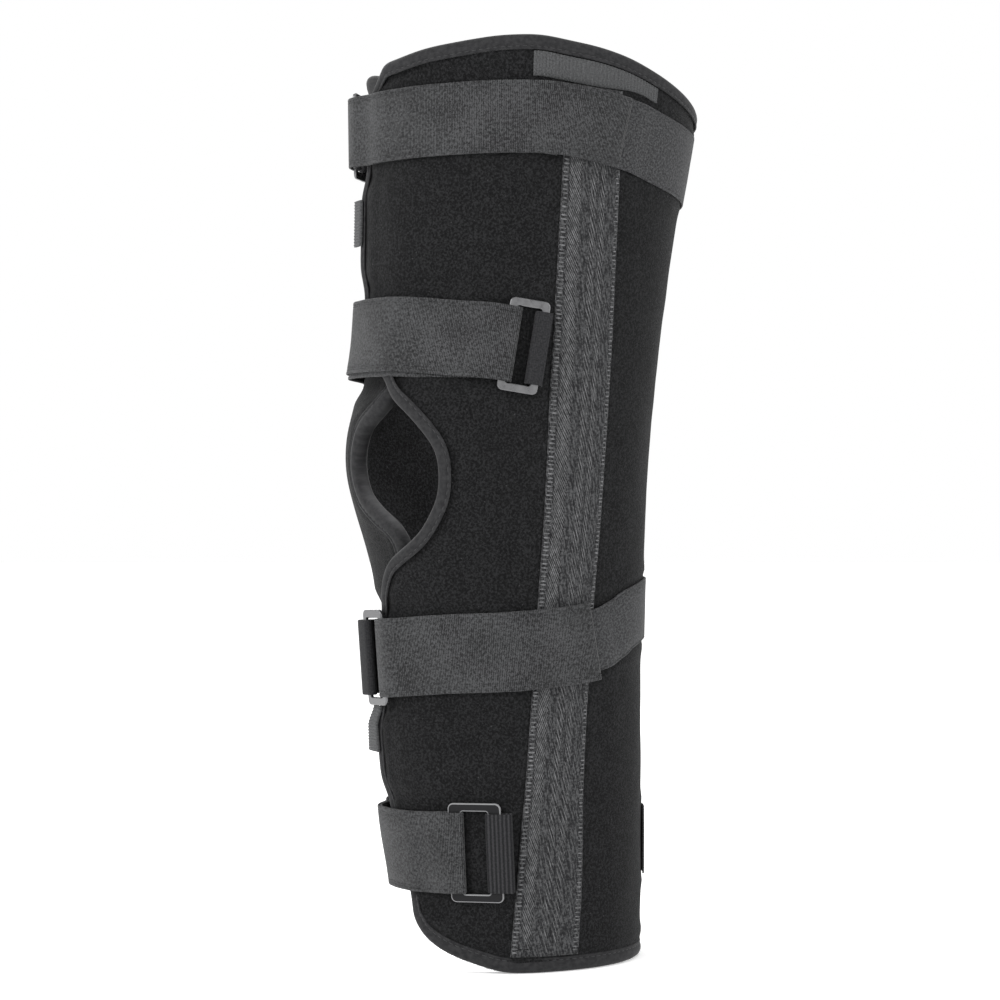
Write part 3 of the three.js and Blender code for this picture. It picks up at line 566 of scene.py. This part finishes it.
def edge_spot(run):
    """Place in the flat sheet for a run from 0 to 4 round the edge of the panel."""
    side, share = int(run) % 4, run % 1
    if side == 0:
        return panel_start, share
    if side == 1:
        return panel_start + share * (panel_end - panel_start), 1.0
    if side == 2:
        return panel_end, 1 - share
    return panel_end - share * (panel_end - panel_start), 0.0


def edge_points():
    """Evenly spaced middles of the panel's bound edge, with the way off the leg."""
    rough = []
    for step in range(edge_samples):
        u, z = panel_spot(*edge_spot(4 * step / edge_samples))
        face, back = skin(u, z, layer(u)), skin(u, z, layer(u) - wall)
        rough.append(((face + back) / 2, (face - back).normalized()))
    length = [0.0]
    for (before, _), (after, _) in zip(rough, rough[1:] + rough[:1]):
        length.append(length[-1] + (after - before).length)
    count = round(length[-1] / edge_spacing)
    points, offs, k = [], [], 0
    for step in range(count):
        at = step * length[-1] / count
        while length[k + 1] < at:
            k += 1
        share = (at - length[k]) / max(1e-9, length[k + 1] - length[k])
        (here, off), (there, _) = rough[k], rough[(k + 1) % len(rough)]
        points.append(here.lerp(there, share))
        offs.append(off)
    for _ in range(edge_smoothing):
        points = [
            0.5 * points[k] + 0.25 * (points[k - 1] + points[(k + 1) % count])
            for k in range(count)
        ]
    return points, offs


edge_line, edge_offs = edge_points()
edge_count = len(edge_line)
edge_stations = []
for k in range(edge_count):
    ahead = (edge_line[(k + 2) % edge_count] - edge_line[k - 2]).normalized()
    off = edge_offs[k]
    away = off.cross(ahead).normalized()
    outer = edge_line[(k + bend_reach) % edge_count] + edge_line[k - bend_reach]
    bend = min(1.0, (outer - 2 * edge_line[k]).length / full_bend)
    edge_stations.append((edge_line[k], ahead, off, away, bend, k))


def woven(stations, section, spot, wide):
    """A strip with a closed section of (across, off) points, placed at each station."""
    bm = bmesh.new()
    steps, count = len(stations) - 1, len(section)
    bmesh.ops.create_grid(bm, x_segments=steps, y_segments=count, size=0.5)
    run = bm.loops.layers.uv.new("run")
    middle = [spot(station, 0.0, 0.0) for station in stations]
    length = [0.0]
    for before, after in zip(middle, middle[1:]):
        length.append(length[-1] + (after - before).length)
    knots = {}
    for point in bm.verts:
        knots[point] = round((point.co.x + 0.5) * steps), round((point.co.y + 0.5) * count)
    for face in bm.faces:
        face.smooth = True
        for corner in face.loops:
            k, i = knots[corner.vert]
            corner[run].uv = length[k] / 1000, section[i % count][0] * wide / 2000
    for point, (k, i) in knots.items():
        point.co = spot(stations[k], *section[i % count])
    bmesh.ops.remove_doubles(bm, verts=bm.verts, dist=0.0005)
    open_ends = [edge for edge in bm.edges if edge.is_boundary]
    bmesh.ops.holes_fill(bm, edges=open_ends, sides=0)
    bmesh.ops.recalc_face_normals(bm, faces=bm.faces)
    return bm


# Half of the folded section: reach over the edge, and distance from the foam's
# middle. It is low at the seam.
seam_reach, seam_off = 5.3, 3.72
half_fold = (
    (-7.0, 3.55), (-6.9, 3.95), (-6.4, 4.15), (-5.8, 3.95), (-seam_reach, 3.60), (-4.8, 3.95),
    (-4.1, 4.30), (-3.0, 4.48), (-1.8, 4.45), (-0.8, 4.15), (0.2, 3.50), (0.9, 2.60),
    (1.35, 1.40), (1.5, 0.0),
)
half_lining = (
    (0.55, 0.0), (0.4, 1.3), (0.0, 2.6), (-0.8, 3.35), (-3.0, 3.45), (-seam_reach, 3.12),
    (-6.6, 3.2),
)
fold = list(half_fold) + [(reach, -off) for reach, off in half_fold[-2::-1]]
fold += [(reach, -off) for reach, off in half_lining[:0:-1]] + list(half_lining)


def binding_spot(station, reach, off):
    point, ahead, out, away, bend, k = station
    pucker = noise.noise(Vector((k * 0.42, reach * 0.15, math.copysign(3, off))))
    depth = (0.10 + 0.22 * bend) * pucker * ease(4.5, 1.0, abs(reach + seam_reach)) * (reach < 0)
    off += math.copysign(depth, off) if abs(off) > 3.5 else 0.0
    return point + out * off + away * reach


tricot = Finish("knitted_binding", 0.82, specular=0.25, sheen=0.08)
tricot_place = tricot.cloth_mm()
tricot_nap = tricot.grain(tricot_place, 2.6, detail=4)
tricot_along, _ = tricot.axes(tricot_place)
tricot_knit = (tricot_along * 9.0).sine()
tricot_tone = tricot.eased(tricot_nap, 0.3, 0.7)
tricot.put("Base Color", tricot.dyed(tricot_tone, (0.008, 0.008, 0.009), (0.021, 0.021, 0.022)))
tricot.raised(tricot_nap + tricot_knit * 0.12, 0.12, strength=0.6)

binding_tape = woven(edge_stations + edge_stations[:1], fold, binding_spot, 2.0)
set_in_place(binding_tape, "edge_binding_tape", tricot, "edge_binding", "bottom_binding", "edge_binding")

bead = bpy.data.meshes.new("thread_bead")
bead_shape = bmesh.new()
bmesh.ops.create_uvsphere(bead_shape, u_segments=6, v_segments=4, radius=1)
bead_shape.to_mesh(bead)
bead_shape.free()


def stitch(bm, at, ahead, out, length, thick):
    """One thread lying on the cloth, as a small tapered bead."""
    side = out.cross(ahead).normalized()
    axes = Matrix((side * thick / 2, out * thick / 2, ahead * length / 2)).transposed().to_4x4()
    laid = bead.copy()
    laid.transform(Matrix.Translation(at) @ axes)
    bm.from_mesh(laid)
    bpy.data.meshes.remove(laid)


thread = Finish("black_thread", 0.6, specular=0.4)
thread_twist = thread.grain(thread.body_mm(), 0.5)
thread.put("Base Color", thread.dyed(thread_twist, (0.012, 0.012, 0.013), (0.035, 0.035, 0.037)))
seam_stitch, seam_thread = 2.9, 0.62
binding_seam = bmesh.new()
for k in range(0, edge_count - 1, 2):
    point, ahead, out, away, _, _ = edge_stations[k]
    for face in (1, -1):
        spot = point - away * seam_reach + out * face * seam_off
        stitch(binding_seam, spot, ahead, out, seam_stitch, seam_thread)
for face in binding_seam.faces:
    face.smooth = True
set_in_place(binding_seam, "edge_binding_seam", thread, "edge_binding")


# Bands. Every strap, hook end and tab is a woven band whose middle line runs
# round the leg at a height and an offset, and can turn back round a ring's bar.
webbing, hook_tape, strap_clear = 1.2, 1.1, 0.9
ring_width, ring_thick, ring_side_bar, ring_end_bar, ring_play = 24.0, 1.8, 4.0, 4.4, 0.5
tape_seat, stay_tape, stay_cover, stay_cover_width = 0.7, 1.2, 1.2, 40.0
ring_gap = ring_thick / 2 + ring_play + webbing / 2
low_layer = strap_clear + webbing / 2
pair_layer = low_layer + webbing + fit
hook_over_tape = tape_seat + stay_tape + strap_clear + hook_tape / 2
end_layer = hook_over_tape + hook_tape / 2 + fit + webbing / 2


def per_degree(around, z):
    return (skin(around + 4, z) - skin(around - 4, z)).length / 8


def under(around, edge, bound):
    """Outermost cloth below a band where it crosses the near panel's bound edge."""
    if not -180 <= around <= 180:
        return 0.0
    if around >= edge:
        smooth = overlap_lift * (1 - ease(overlap_from, overlap_to, around))
        return smooth + rim_inset * (1 - ease(bound, bound + 12, around))
    far = -overlap_lift * (1 - ease(overlap_from, overlap_to, -around))
    top = overlap_lift + rim_inset
    return top + (far - top) * (1 - ease(edge - 30, edge, around))


def under_strap(name, along):
    strap = straps[name]
    z = strap_at(name, 0)
    reach = strap_width * strap["wide"] / 2
    heights = (z - reach, z, z + reach)
    edge = min(near_edge(h) for h in heights) - 2
    bound = max(near_edge(heights[0]), near_edge(heights[2]))
    bound += (rim_inset + binding_leg + 2.5 * fit) / (ankle_front * degree)
    around = strap["way"] * along
    met = under(around, edge, bound)
    if around > 0:
        return met
    foot = heights[0] - binding_leg
    crossed = ease(foot - 12, foot - 4, bottom_edge(360 + around))
    return max(met, layer(360 + around) + rim_inset * crossed)


def tape_half(z):
    return stay_tape_width / 2 / per_degree(tape_line(z / height), z)


def tape_side(name, along, side):
    """Where a strap's layer ends in front of (-1) or behind (1) the stay tape."""
    z = strap_at(name, along)
    rise = strap_at(name, along + 2) - strap_at(name, along - 2)
    arc = per_degree(90, z)
    back = abs(rise / (4 * arc)) * strap_width * straps[name]["wide"] / 2 / arc + 2 * fit / arc
    heights = (z - strap_width / 2, z + strap_width / 2)
    ends = [tape_line(h / height) + side * tape_half(h) for h in heights]
    return max(ends) + back if side > 0 else min(ends) - back


def locate(point):
    """Angle round the leg and offset from its skin of a point in space."""
    target = math.degrees(math.atan2(point.x, -point.y))
    around = target
    for _ in range(12):
        here = skin(around, point.z)
        around += target - math.degrees(math.atan2(here.x, -here.y))
    here = skin(around, point.z)
    return around, math.hypot(point.x, point.y) - math.hypot(here.x, here.y)


class Ring:
    """Place of a strap's ring: flat over the panel, webbing below each side bar."""

    def __init__(self, name):
        strap = straps[name]
        way = strap["way"]
        z = strap_at(name, strap["ring"])
        around = way * strap["ring"]
        self.bar_wide = ring_side_bar * strap["bar"]
        half = (ring_width * strap["ring_wide"] - self.bar_wide) / 2
        span = half / per_degree(around, z)
        ends = []
        for side in (1, -1):
            turn = around + side * span
            ends.append(skin(turn, strap_at(name, way * turn), under_strap(name, way * turn)))
        self.across = (ends[0] - ends[1]).normalized()
        rise = (skin(around, z + strap_width / 2) - skin(around, z - strap_width / 2)).normalized()
        self.face = self.across.cross(rise).normalized()
        self.up = self.face.cross(self.across)
        self.name, self.way, self.half = name, way, half
        out = under_strap(name, strap["ring"]) + low_layer + ring_gap
        for _ in range(4):
            bars = self.bars(skin(around, z, out))
            cloths = [under_strap(name, bar["along"]) + low_layer for bar in bars]
            out += max(cloth + ring_gap - bar["low"] for cloth, bar in zip(cloths, bars))
        self.origin = skin(around, z, out)
        self.turn, self.held = self.bars(self.origin)

    def bars(self, origin):
        found = []
        for side in (1, -1):
            middle = origin + self.across * side * self.way * self.half
            wide = strap_width * straps[self.name]["wide"]
            spots = [locate(middle + self.up * share * wide) for share in (-0.45, 0, 0.45)]
            around, out = spots[1]
            low = min(spot[1] for spot in spots)
            bar = dict(along=self.way * around, around=around, out=out, low=low, wide=self.bar_wide)
            bar["x"] = side * self.way * self.half
            found.append(bar)
        return found


def steps(start, stop, size=1.1):
    """Even steps from start to stop, none longer than size."""
    count = max(2, math.ceil(abs(stop - start) / size))
    return [start + (stop - start) * k / count for k in range(count + 1)]


def turn_round(bar, way):
    """Path round a side bar, in below it and out above it."""
    arc = knee_front * degree
    at = bar["along"] - way * (bar["wide"] / 2 + ring_play) / arc
    path = []
    for turn in range(-90, -271, -15):
        reach = math.cos(turn * degree) * ring_gap
        out = bar["out"] + math.sin(turn * degree) * ring_gap
        path.append(dict(along=at + way * reach / arc, out=out, hold=1.0))
    return path


def band(name, path, wide, section, ring=None, bar=None):
    """A woven band along a path of angles and offsets, held square at a ring."""
    way = straps[name]["way"]
    scale = knee_front * degree
    flat = [Vector((way * stop["along"] * scale, stop["out"])) for stop in path]
    stations = []
    for k, stop in enumerate(path):
        ahead = (flat[min(k + 1, len(flat) - 1)] - flat[max(k - 1, 0)]).normalized()
        normal = Vector((-ahead.y, ahead.x))
        stations.append((flat[k], normal, stop.get("hold", 0.0), stop.get("drop", 0.0)))

    def spot(station, across, off):
        here, normal, hold, drop = station
        ripple = 0.10 * noise.noise(Vector((here.x / 7, across * 1.6, 5.0 * way)))
        here = here + normal * (off + ripple * (1 - hold))
        around = here.x / scale
        z = strap_at(name, way * around) + drop
        arc = per_degree(around, z)
        rise = strap_at(name, way * (around + 2)) - strap_at(name, way * (around - 2))
        lean = math.atan2(rise, 4 * arc)
        half = across * wide / 2
        half += 0.16 * across * noise.noise(Vector((here.x / 9, across, 11.0)))
        free = skin(around - math.sin(lean) * half / arc, z + math.cos(lean) * half, here.y)
        if not hold:
            return free
        held = ring.origin + ring.across * (bar["x"] + (around - bar["around"]) * arc)
        held += ring.up * half + ring.face * (here.y - bar["out"])
        return free.lerp(held, hold)

    return woven(stations, section, spot, wide)


groove_half, groove_depth = 0.018, 0.32


def selvedge(thick, grooves):
    """Closed section of a band: rounded edges, and fine grooves beside them."""
    half = thick / 2
    side = [(-1.0, 0.35 * half), (-0.985, 0.85 * half), (-0.96, half)]
    for groove in grooves:
        side += [(-groove - groove_half, half), (-groove, half - groove_depth)]
        side.append((-groove + groove_half, half))
    side += [(-0.55, half), (-0.25, half), (0.0, half)]
    face = side + [(-across, off) for across, off in side[-2::-1]]
    return face + [(across, -off) for across, off in face[::-1]]


def strap_path(name, ring):
    strap = straps[name]
    turn = ring.turn
    arc = knee_front * degree
    start = tape_side(name, 85, -1)
    clear = turn["along"] + (turn["wide"] / 2 + 2.5 * fit) / arc
    path = []
    for along in steps(start, clear):
        hold = 1 - ease(clear, clear + 14, along)
        rest = under_strap(name, along) + low_layer
        drop = -strap["sag"] * strap_width * ease(clear + 5, clear + 40, along)
        out = rest + max(0.0, turn["out"] - ring_gap - rest) * hold
        path.append(dict(along=along, drop=drop, hold=hold, out=out))
    path += turn_round(turn, 1)
    for along in steps(clear, strap["end"]):
        hold = 1 - ease(clear, clear + 16, along)
        over = ease(start - 12, start - 1, along)
        rest = under_strap(name, along) + pair_layer + (end_layer - pair_layer) * over
        out = rest + max(0.0, turn["out"] + ring_gap - rest) * hold
        path.append(dict(along=along, hold=hold, out=out))
    return path


def tab_path(name, ring):
    held = ring.held
    arc = knee_front * degree
    stop = -tape_side(name, -82, -1)
    clear = held["along"] - (held["wide"] / 2 + 2.5 * fit) / arc
    path = []
    for along in steps(stop, clear, 0.8):
        hold = ease(clear - 14, clear, along)
        rest = under_strap(name, along) + low_layer
        out = rest + max(0.0, held["out"] - ring_gap - rest) * hold
        path.append(dict(along=along, hold=hold, out=out))
    path += turn_round(held, -1)
    for along in steps(clear, stop, 0.8):
        hold = ease(clear - 14, clear, along)
        rest = under_strap(name, along) + pair_layer
        out = rest + max(0.0, held["out"] + ring_gap - rest) * hold
        path.append(dict(along=along, hold=hold, out=out))
    return path


def hook_path(name):
    strap = straps[name]
    rear = tape_side(name, 100, 1)
    path = []
    for along in steps(*strap["hook"]):
        down = ease(rear + 1, rear + 10, along)
        flat = strap_clear + hook_tape / 2
        path.append(dict(along=along, out=hook_over_tape + (flat - hook_over_tape) * down))
    return path


# Straps. Dark grey elastic webbing with fine ribs across it and two drawn
# threads beside each selvedge. Each runs below its ring's side bar, turns back
# and lies on itself, and ends on its hook end.
elastic = Finish("elastic_webbing", 0.88, specular=0.22, sheen=0.12)
elastic_place = elastic.cloth_mm()
elastic_along, elastic_up = elastic.axes(elastic_place)
elastic_ribs = (elastic_along * (2 * math.pi / 0.95) + (elastic_up * 2.4).sine() * 0.5).sine()
elastic_yarn = (elastic_up * (2 * math.pi / 0.8)).sine()
elastic_nap = elastic.grain(elastic_place, 1.6, detail=4, rough=0.75)
elastic_fade = elastic.grain(elastic_place, 24, detail=2)
elastic_tone = elastic.eased(elastic_nap * 0.8 + elastic_fade * 0.2 + elastic_ribs * 0.07, 0.41, 0.61)
elastic.put("Base Color", elastic.dyed(elastic_tone, (0.0095, 0.0095, 0.010), (0.057, 0.058, 0.060)))
elastic_relief = elastic_ribs * 0.35 + elastic_yarn * elastic_ribs * 0.25 + elastic_nap * 0.9
elastic.raised(elastic_relief, 0.16, strength=0.8)

rings = {name: Ring(name) for name in straps}
for name, strap in straps.items():
    ring = rings[name]
    wide = strap_width * strap["wide"]
    cloth = band(name, strap_path(name, ring), wide, selvedge(webbing, (0.9, 0.84)), ring, ring.turn)
    set_in_place(cloth, f"{name}_webbing", elastic, "elastic_webbing", f"{name}_strap")

# Hook ends. Stiffer and darker hook tape, sewn below the end of each strap, with
# its hooks down on the loop cloth.
hook_cloth = Finish("hook_tape", 0.8, specular=0.3, sheen=0.05)
hook_place = hook_cloth.cloth_mm()
hook_nap = hook_cloth.grain(hook_place, 1.3, detail=4, rough=0.75)
hook_along, _ = hook_cloth.axes(hook_place)
hook_ribs = (hook_along * (2 * math.pi / 1.1)).sine()
hook_tone = hook_cloth.eased(hook_nap, 0.4, 0.62)
hook_cloth.put("Base Color", hook_cloth.dyed(hook_tone, (0.008, 0.008, 0.009), (0.050, 0.051, 0.053)))
hook_cloth.raised(hook_nap + hook_ribs * 0.3, 0.14, strength=0.7)
for name, strap in straps.items():
    cloth = band(name, hook_path(name), strap_width * strap["hook_wide"], selvedge(hook_tape, (0.92,)))
    set_in_place(cloth, f"{name}_hook_tape", hook_cloth, "hook_tape", f"{name}_hook_end")


# Ring tabs. Flat black webbing that holds each ring and is sewn down beside the
# stay tape. The ankle one has coarse ribs.
def tab_webbing(name, pitch, contrast):
    cloth = Finish(name, 0.85, specular=0.2, sheen=0.05)
    place = cloth.cloth_mm()
    along, _ = cloth.axes(place)
    ribs = (along * (2 * math.pi / pitch)).sine()
    nap = cloth.grain(place, 1.0, detail=4)
    tone = cloth.eased(nap * 0.6 + ribs * contrast + 0.16, 0.3, 0.7)
    cloth.put("Base Color", cloth.dyed(tone, (0.006, 0.006, 0.007), (0.030, 0.030, 0.032)))
    cloth.raised(ribs * (4 * contrast) + nap * 0.6, 0.2, strength=0.8)
    return cloth


plain_tab = tab_webbing("plain_tab_webbing", 0.9, 0.03)
ribbed_tab = tab_webbing("ribbed_tab_webbing", 2.2, 0.15)
tab_share = 0.97
for name, strap in straps.items():
    ring = rings[name]
    wide = strap_width * strap["wide"] * tab_share
    cloth = band(name, tab_path(name, ring), wide, selvedge(webbing, ()), ring, ring.held)
    tab_cloth = ribbed_tab if name == "ankle" else plain_tab
    set_in_place(cloth, f"{name}_tab_webbing", tab_cloth, "webbing_tab", f"{name}_tab")

# Rings. Flat rectangular rings, pressed from sheet with rounded corners and
# eased edges: three bright nickel, the ankle one black, with a painted highlight along its edges.
nickel = Finish("nickel_plate", 0.3, specular=0.5, metal=1.0)
nickel_wear = nickel.grain(nickel.body_mm(), 3, detail=5)
nickel.put("Base Color", nickel.dyed(nickel_wear, (0.09, 0.09, 0.093), (0.22, 0.22, 0.225)))
nickel.put("Roughness", nickel.eased(nickel_wear, 0.3, 0.7, 0.24, 0.42))
black_metal = Finish("black_enamel", 0.5, specular=0.12)
black_wear = black_metal.grain(black_metal.body_mm(), 2, detail=5)
# The second cloth value marks the eased edges, where the black colour is lightened: a painted highlight,
# mixed with a little random wear.
_, painted_edge_highlight = black_metal.axes(black_metal.cloth_mm())
black_wear_and_highlight = black_metal.eased(black_wear * 0.1 + painted_edge_highlight, 0.0, 1.0)
black_metal.put("Base Color", black_metal.dyed(black_wear_and_highlight, (0.008, 0.008, 0.009), (0.200, 0.201, 0.205)))
black_metal.put("Roughness", black_metal.eased(black_wear, 0.3, 0.7, 0.38, 0.52))
ring_corner, ring_hole_corner, ring_ease = ring_end_bar * 0.7, 1.2, 0.6


def round_loop(bm, wide, tall, radius):
    """A rectangle with rounded corners."""
    corners = bmesh.ops.create_grid(bm, x_segments=1, y_segments=1, size=0.5)["verts"]
    bmesh.ops.scale(bm, vec=(wide, tall, 1), verts=corners)
    bmesh.ops.bevel(
        bm, geom=corners, offset=radius, offset_type="OFFSET",
        segments=6, profile=0.5, affect="VERTICES", material=-1,
    )


for name, strap in straps.items():
    ring = rings[name]
    wide = ring_width * strap["ring_wide"]
    tall = strap_width * strap["wide"] + 2 * (ring_end_bar + ring_play)
    plate = bmesh.new()
    round_loop(plate, wide, tall, ring_corner)
    round_loop(plate, wide - 2 * ring.bar_wide, tall - 2 * ring_end_bar, ring_hole_corner)
    bmesh.ops.delete(plate, geom=plate.faces[:], context="FACES_ONLY")
    bmesh.ops.bridge_loops(plate, edges=plate.edges[:])
    rim = bmesh.ops.extrude_face_region(plate, geom=plate.faces[:])
    top = [part for part in rim["geom"] if isinstance(part, bmesh.types.BMVert)]
    bmesh.ops.translate(plate, vec=(0, 0, ring_thick), verts=top)
    bmesh.ops.translate(plate, vec=(0, 0, -ring_thick / 2), verts=plate.verts)
    bmesh.ops.recalc_face_normals(plate, faces=plate.faces)
    sharp = [edge for edge in plate.edges if edge.calc_face_angle(0) > 1.0]
    bmesh.ops.bevel(
        plate, geom=sharp, offset=ring_ease, offset_type="OFFSET",
        segments=3, profile=0.5, affect="EDGES", material=-1,
    )
    # The eased edges are marked in the second value, and the black ring's colour is lightened there as a
    # painted highlight.
    edge_highlight_mark = plate.loops.layers.uv.new("run")
    for face in plate.faces:
        face.smooth = abs(face.normal.z) < 0.99
        for corner in face.loops:
            corner[edge_highlight_mark].uv = (0, 0.001 * face.smooth)
    axes = Matrix((ring.across, ring.up, ring.face)).transposed().to_4x4()
    bmesh.ops.transform(plate, matrix=Matrix.Translation(ring.origin) @ axes, verts=plate.verts)
    black = name == "ankle"
    slot = "ring_black" if black else "ring_nickel"
    set_in_place(plate, f"{name}_ring_plate", black_metal if black else nickel, slot, f"{name}_ring")


# Stay tapes. A wide herringbone tape is sewn over the side stay, up each side of
# the leg. Its front edge is whipped: each whip stitch runs on into a steep rib.
# The rear edge has a row of grey stitches.
binding_end = binding_leg + 2 * fit
far_slope_lead = 4.0
rim_tape_tall = 13.2
tape_steps, cover_steps = 260, 120


def rim_tape_depth(around):
    return rim_tape_tall * (1 - 0.4 * ease(92, 112, around))


def stay_spot(side, across, share, off, inner=False):
    wide = stay_cover_width if inner else stay_tape_width
    z = share * height
    for _ in range(4):
        middle = tape_line(z / height)
        around = middle + across * wide / 2 / per_degree(middle, z)
        low = bottom_edge(around if side > 0 else 360 + far_slope_lead - around) + binding_end
        trim = 0.0 if inner else rim_tape_depth(around) + 2 * fit
        z = low + share * (top_edge(around) - binding_end - trim - low)
    return skin(side * around, z, off)


def flat_section(thick, seat):
    """Closed section of a tape that lies on its seat, with rounded upper edges."""
    points = (
        (-1.0, 0.2), (-0.99, 0.75), (-0.965, 1.0), (-0.6, 1.0), (-0.2, 1.0),
        (0.2, 1.0), (0.6, 1.0), (0.965, 1.0), (0.99, 0.75), (1.0, 0.2),
        (0.98, 0.0), (0.5, 0.0), (0.0, 0.0), (-0.5, 0.0), (-0.98, 0.0),
    )
    return [(across, seat + share * thick) for across, share in points]


twill = Finish("herringbone_tape", 0.85, specular=0.25, sheen=0.08)
twill_place = twill.cloth_mm()
streak_turn = {"Rotation": (0, 0, math.radians(-15)), "Scale": (7, 0.9, 1)}
twill_run = twill.add("Mapping", {"vector_type": "TEXTURE"}, {"Vector": twill_place, **streak_turn})
twill_streak = twill.grain(twill_run, 1.0, detail=3, rough=0.6)
twill_nap = twill.grain(twill_place, 1.4, detail=4, rough=0.7)
twill_tone = twill.eased(twill_streak * 0.5 + twill_nap * 0.5, 0.43, 0.61)
twill.put("Base Color", twill.dyed(twill_tone, (0.006, 0.006, 0.007), (0.066, 0.067, 0.069)))
twill.raised(twill_streak + twill_nap * 0.5, 0.3, strength=0.9)
rib_yarn = Finish("herringbone_yarn", 0.75, specular=0.3, sheen=0.1)
yarn_twist = rib_yarn.grain(rib_yarn.body_mm(), 2.6, detail=4, rough=0.7)
yarn_tone = rib_yarn.eased(yarn_twist, 0.36, 0.66)
rib_yarn.put("Base Color", rib_yarn.dyed(yarn_tone, (0.042, 0.043, 0.044), (0.145, 0.146, 0.150)))

# Rows of thread over a stay tape: their place across it, the run across and the
# fall of one thread, its thickness and the pitch down the tape.
thread_rows = (
    (-0.875, 3.6, 0.0, 1.15, 2.3),
    (-0.56, 7.2, 14.0, 0.58, 2.3),
    (0.02, 4.4, 12.0, 0.52, 4.6),
    (0.34, 3.8, 11.0, 0.46, 4.6),
    (0.89, 2.6, 0.0, 0.95, 2.3),
)
tape_length = 468.0
rib_off = tape_seat + stay_tape - 0.30
for side, name in ((1, "near"), (-1, "far")):
    cloth = woven(
        [k / tape_steps for k in range(tape_steps + 1)],
        flat_section(stay_tape - 0.35, tape_seat),
        lambda share, across, off: stay_spot(side, across, share, off),
        stay_tape_width,
    )
    set_in_place(cloth, f"{name}_stay_herringbone", twill, "stay_tape", f"{name}_stay_tape")
    ribs = bmesh.new()
    for across, run, fall, thick, pitch in thread_rows:
        for k in range(int((tape_length - fall) / pitch)):
            uneven = noise.noise(Vector((k * 1.7, across * 9, side)))
            share = 1 - ((k + 0.5 + 0.3 * uneven) * pitch + fall / 2) / tape_length
            long = 1 + 0.3 * noise.noise(Vector((across * 9, k * 2.3, side)))
            step, drop = long * run / stay_tape_width, long * fall / tape_length / 2
            high = stay_spot(side, across - step, share + drop, rib_off)
            low = stay_spot(side, across + step, share - drop, rib_off)
            out = stay_spot(side, across, share, 3) - stay_spot(side, across, share, 0)
            laid, middle = high - low, (high + low) / 2
            stitch(ribs, middle, laid.normalized(), out.normalized(), laid.length, thick)
    for face in ribs.faces:
        face.smooth = True
    set_in_place(ribs, f"{name}_stay_ribs", rib_yarn, "stay_tape")

# Stay covers. The same stays are covered inside the wrap by a plain strip of
# brushed cloth.
cover_cloth = Finish("stay_cover_cloth", 0.9, specular=0.15, sheen=0.05)
cover_place = cover_cloth.cloth_mm()
cover_nap = cover_cloth.grain(cover_place, 1.0, detail=4)
cover_tone = cover_cloth.eased(cover_nap, 0.3, 0.7)
cover_cloth.put("Base Color", cover_cloth.dyed(cover_tone, (0.016, 0.016, 0.017), (0.032, 0.032, 0.034)))
cover_cloth.raised(cover_nap, 0.2, strength=0.7)
for side, name in ((1, "near"), (-1, "far")):
    cloth = woven(
        [k / cover_steps for k in range(cover_steps + 1)],
        flat_section(-stay_cover, -wall - tape_seat),
        lambda share, across, off: stay_spot(side, across, share, off, inner=True),
        stay_cover_width,
    )
    set_in_place(cloth, f"{name}_stay_lining", cover_cloth, "stay_cover", f"{name}_stay_cover")

# Rim tape and pull tabs. Short cut lengths of ribbed grey webbing: one below the
# top binding over the near stay, and two on the near front edge.
ribbed = Finish("ribbed_webbing", 0.82, specular=0.25, sheen=0.08)
ribbed_place = ribbed.cloth_mm()
ribbed_nap = ribbed.grain(ribbed_place, 0.9, detail=4)
ribbed_tone = ribbed.eased(ribbed_nap, 0.3, 0.7)
ribbed.put("Base Color", ribbed.dyed(ribbed_tone, (0.030, 0.031, 0.032), (0.075, 0.076, 0.078)))
ribbed.raised(ribbed_nap, 0.15, strength=0.7)


def rim_tape_spot(around, across, off):
    depth = rim_tape_depth(around)
    high = top_edge(around) - binding_end
    rib = 0.22 * math.sin(around * 2 * math.pi / 1.15) if off > tape_seat + 0.6 else 0.0
    return skin(around, high - depth * (1 - across) / 2, off + rib)


rim_tape_from, rim_tape_span = 74.5, 42.0
rim_stations = [rim_tape_from + rim_tape_span * k / tape_steps for k in range(tape_steps + 1)]
rim_tape = woven(rim_stations, flat_section(stay_tape - 0.25, tape_seat), rim_tape_spot, rim_tape_tall)
set_in_place(rim_tape, "near_rim_webbing", ribbed, "stay_tape", "near_rim_tape")

# Pull tabs: the share of the height, and how much the free edge flares below.
pull_tab_tall, pull_tab_wide, pull_tab_thick = 25.0, 9.0, 1.6
pull_tab_rows = (("upper", 0.811, 0.0), ("lower", 0.258, 0.5))
for name, share, flared in pull_tab_rows:
    middle = share * height
    arc = knee_front * degree

    def pull_tab_spot(up, across, off):
        edge = near_edge(middle) - pull_tab_wide / 3 / arc
        spread = max(0.0, -across) * flared * (0.5 - up) * pull_tab_wide / arc
        around = edge + (across + 1) / 2 * pull_tab_wide / arc - spread
        rib = 0.0
        if off > rim_inset + fit + 1:
            rib = 0.18 * math.sin(up * pull_tab_tall * 2 * math.pi / 1.7)
        return skin(around, middle + up * pull_tab_tall, layer(around) + off + rib)

    tab = woven(
        [k / 90 - 0.5 for k in range(91)],
        flat_section(pull_tab_thick - 0.2, rim_inset + fit),
        pull_tab_spot,
        pull_tab_wide,
    )
    set_in_place(tab, f"{name}_pull_webbing", ribbed, "stay_tape", f"{name}_pull_tab")
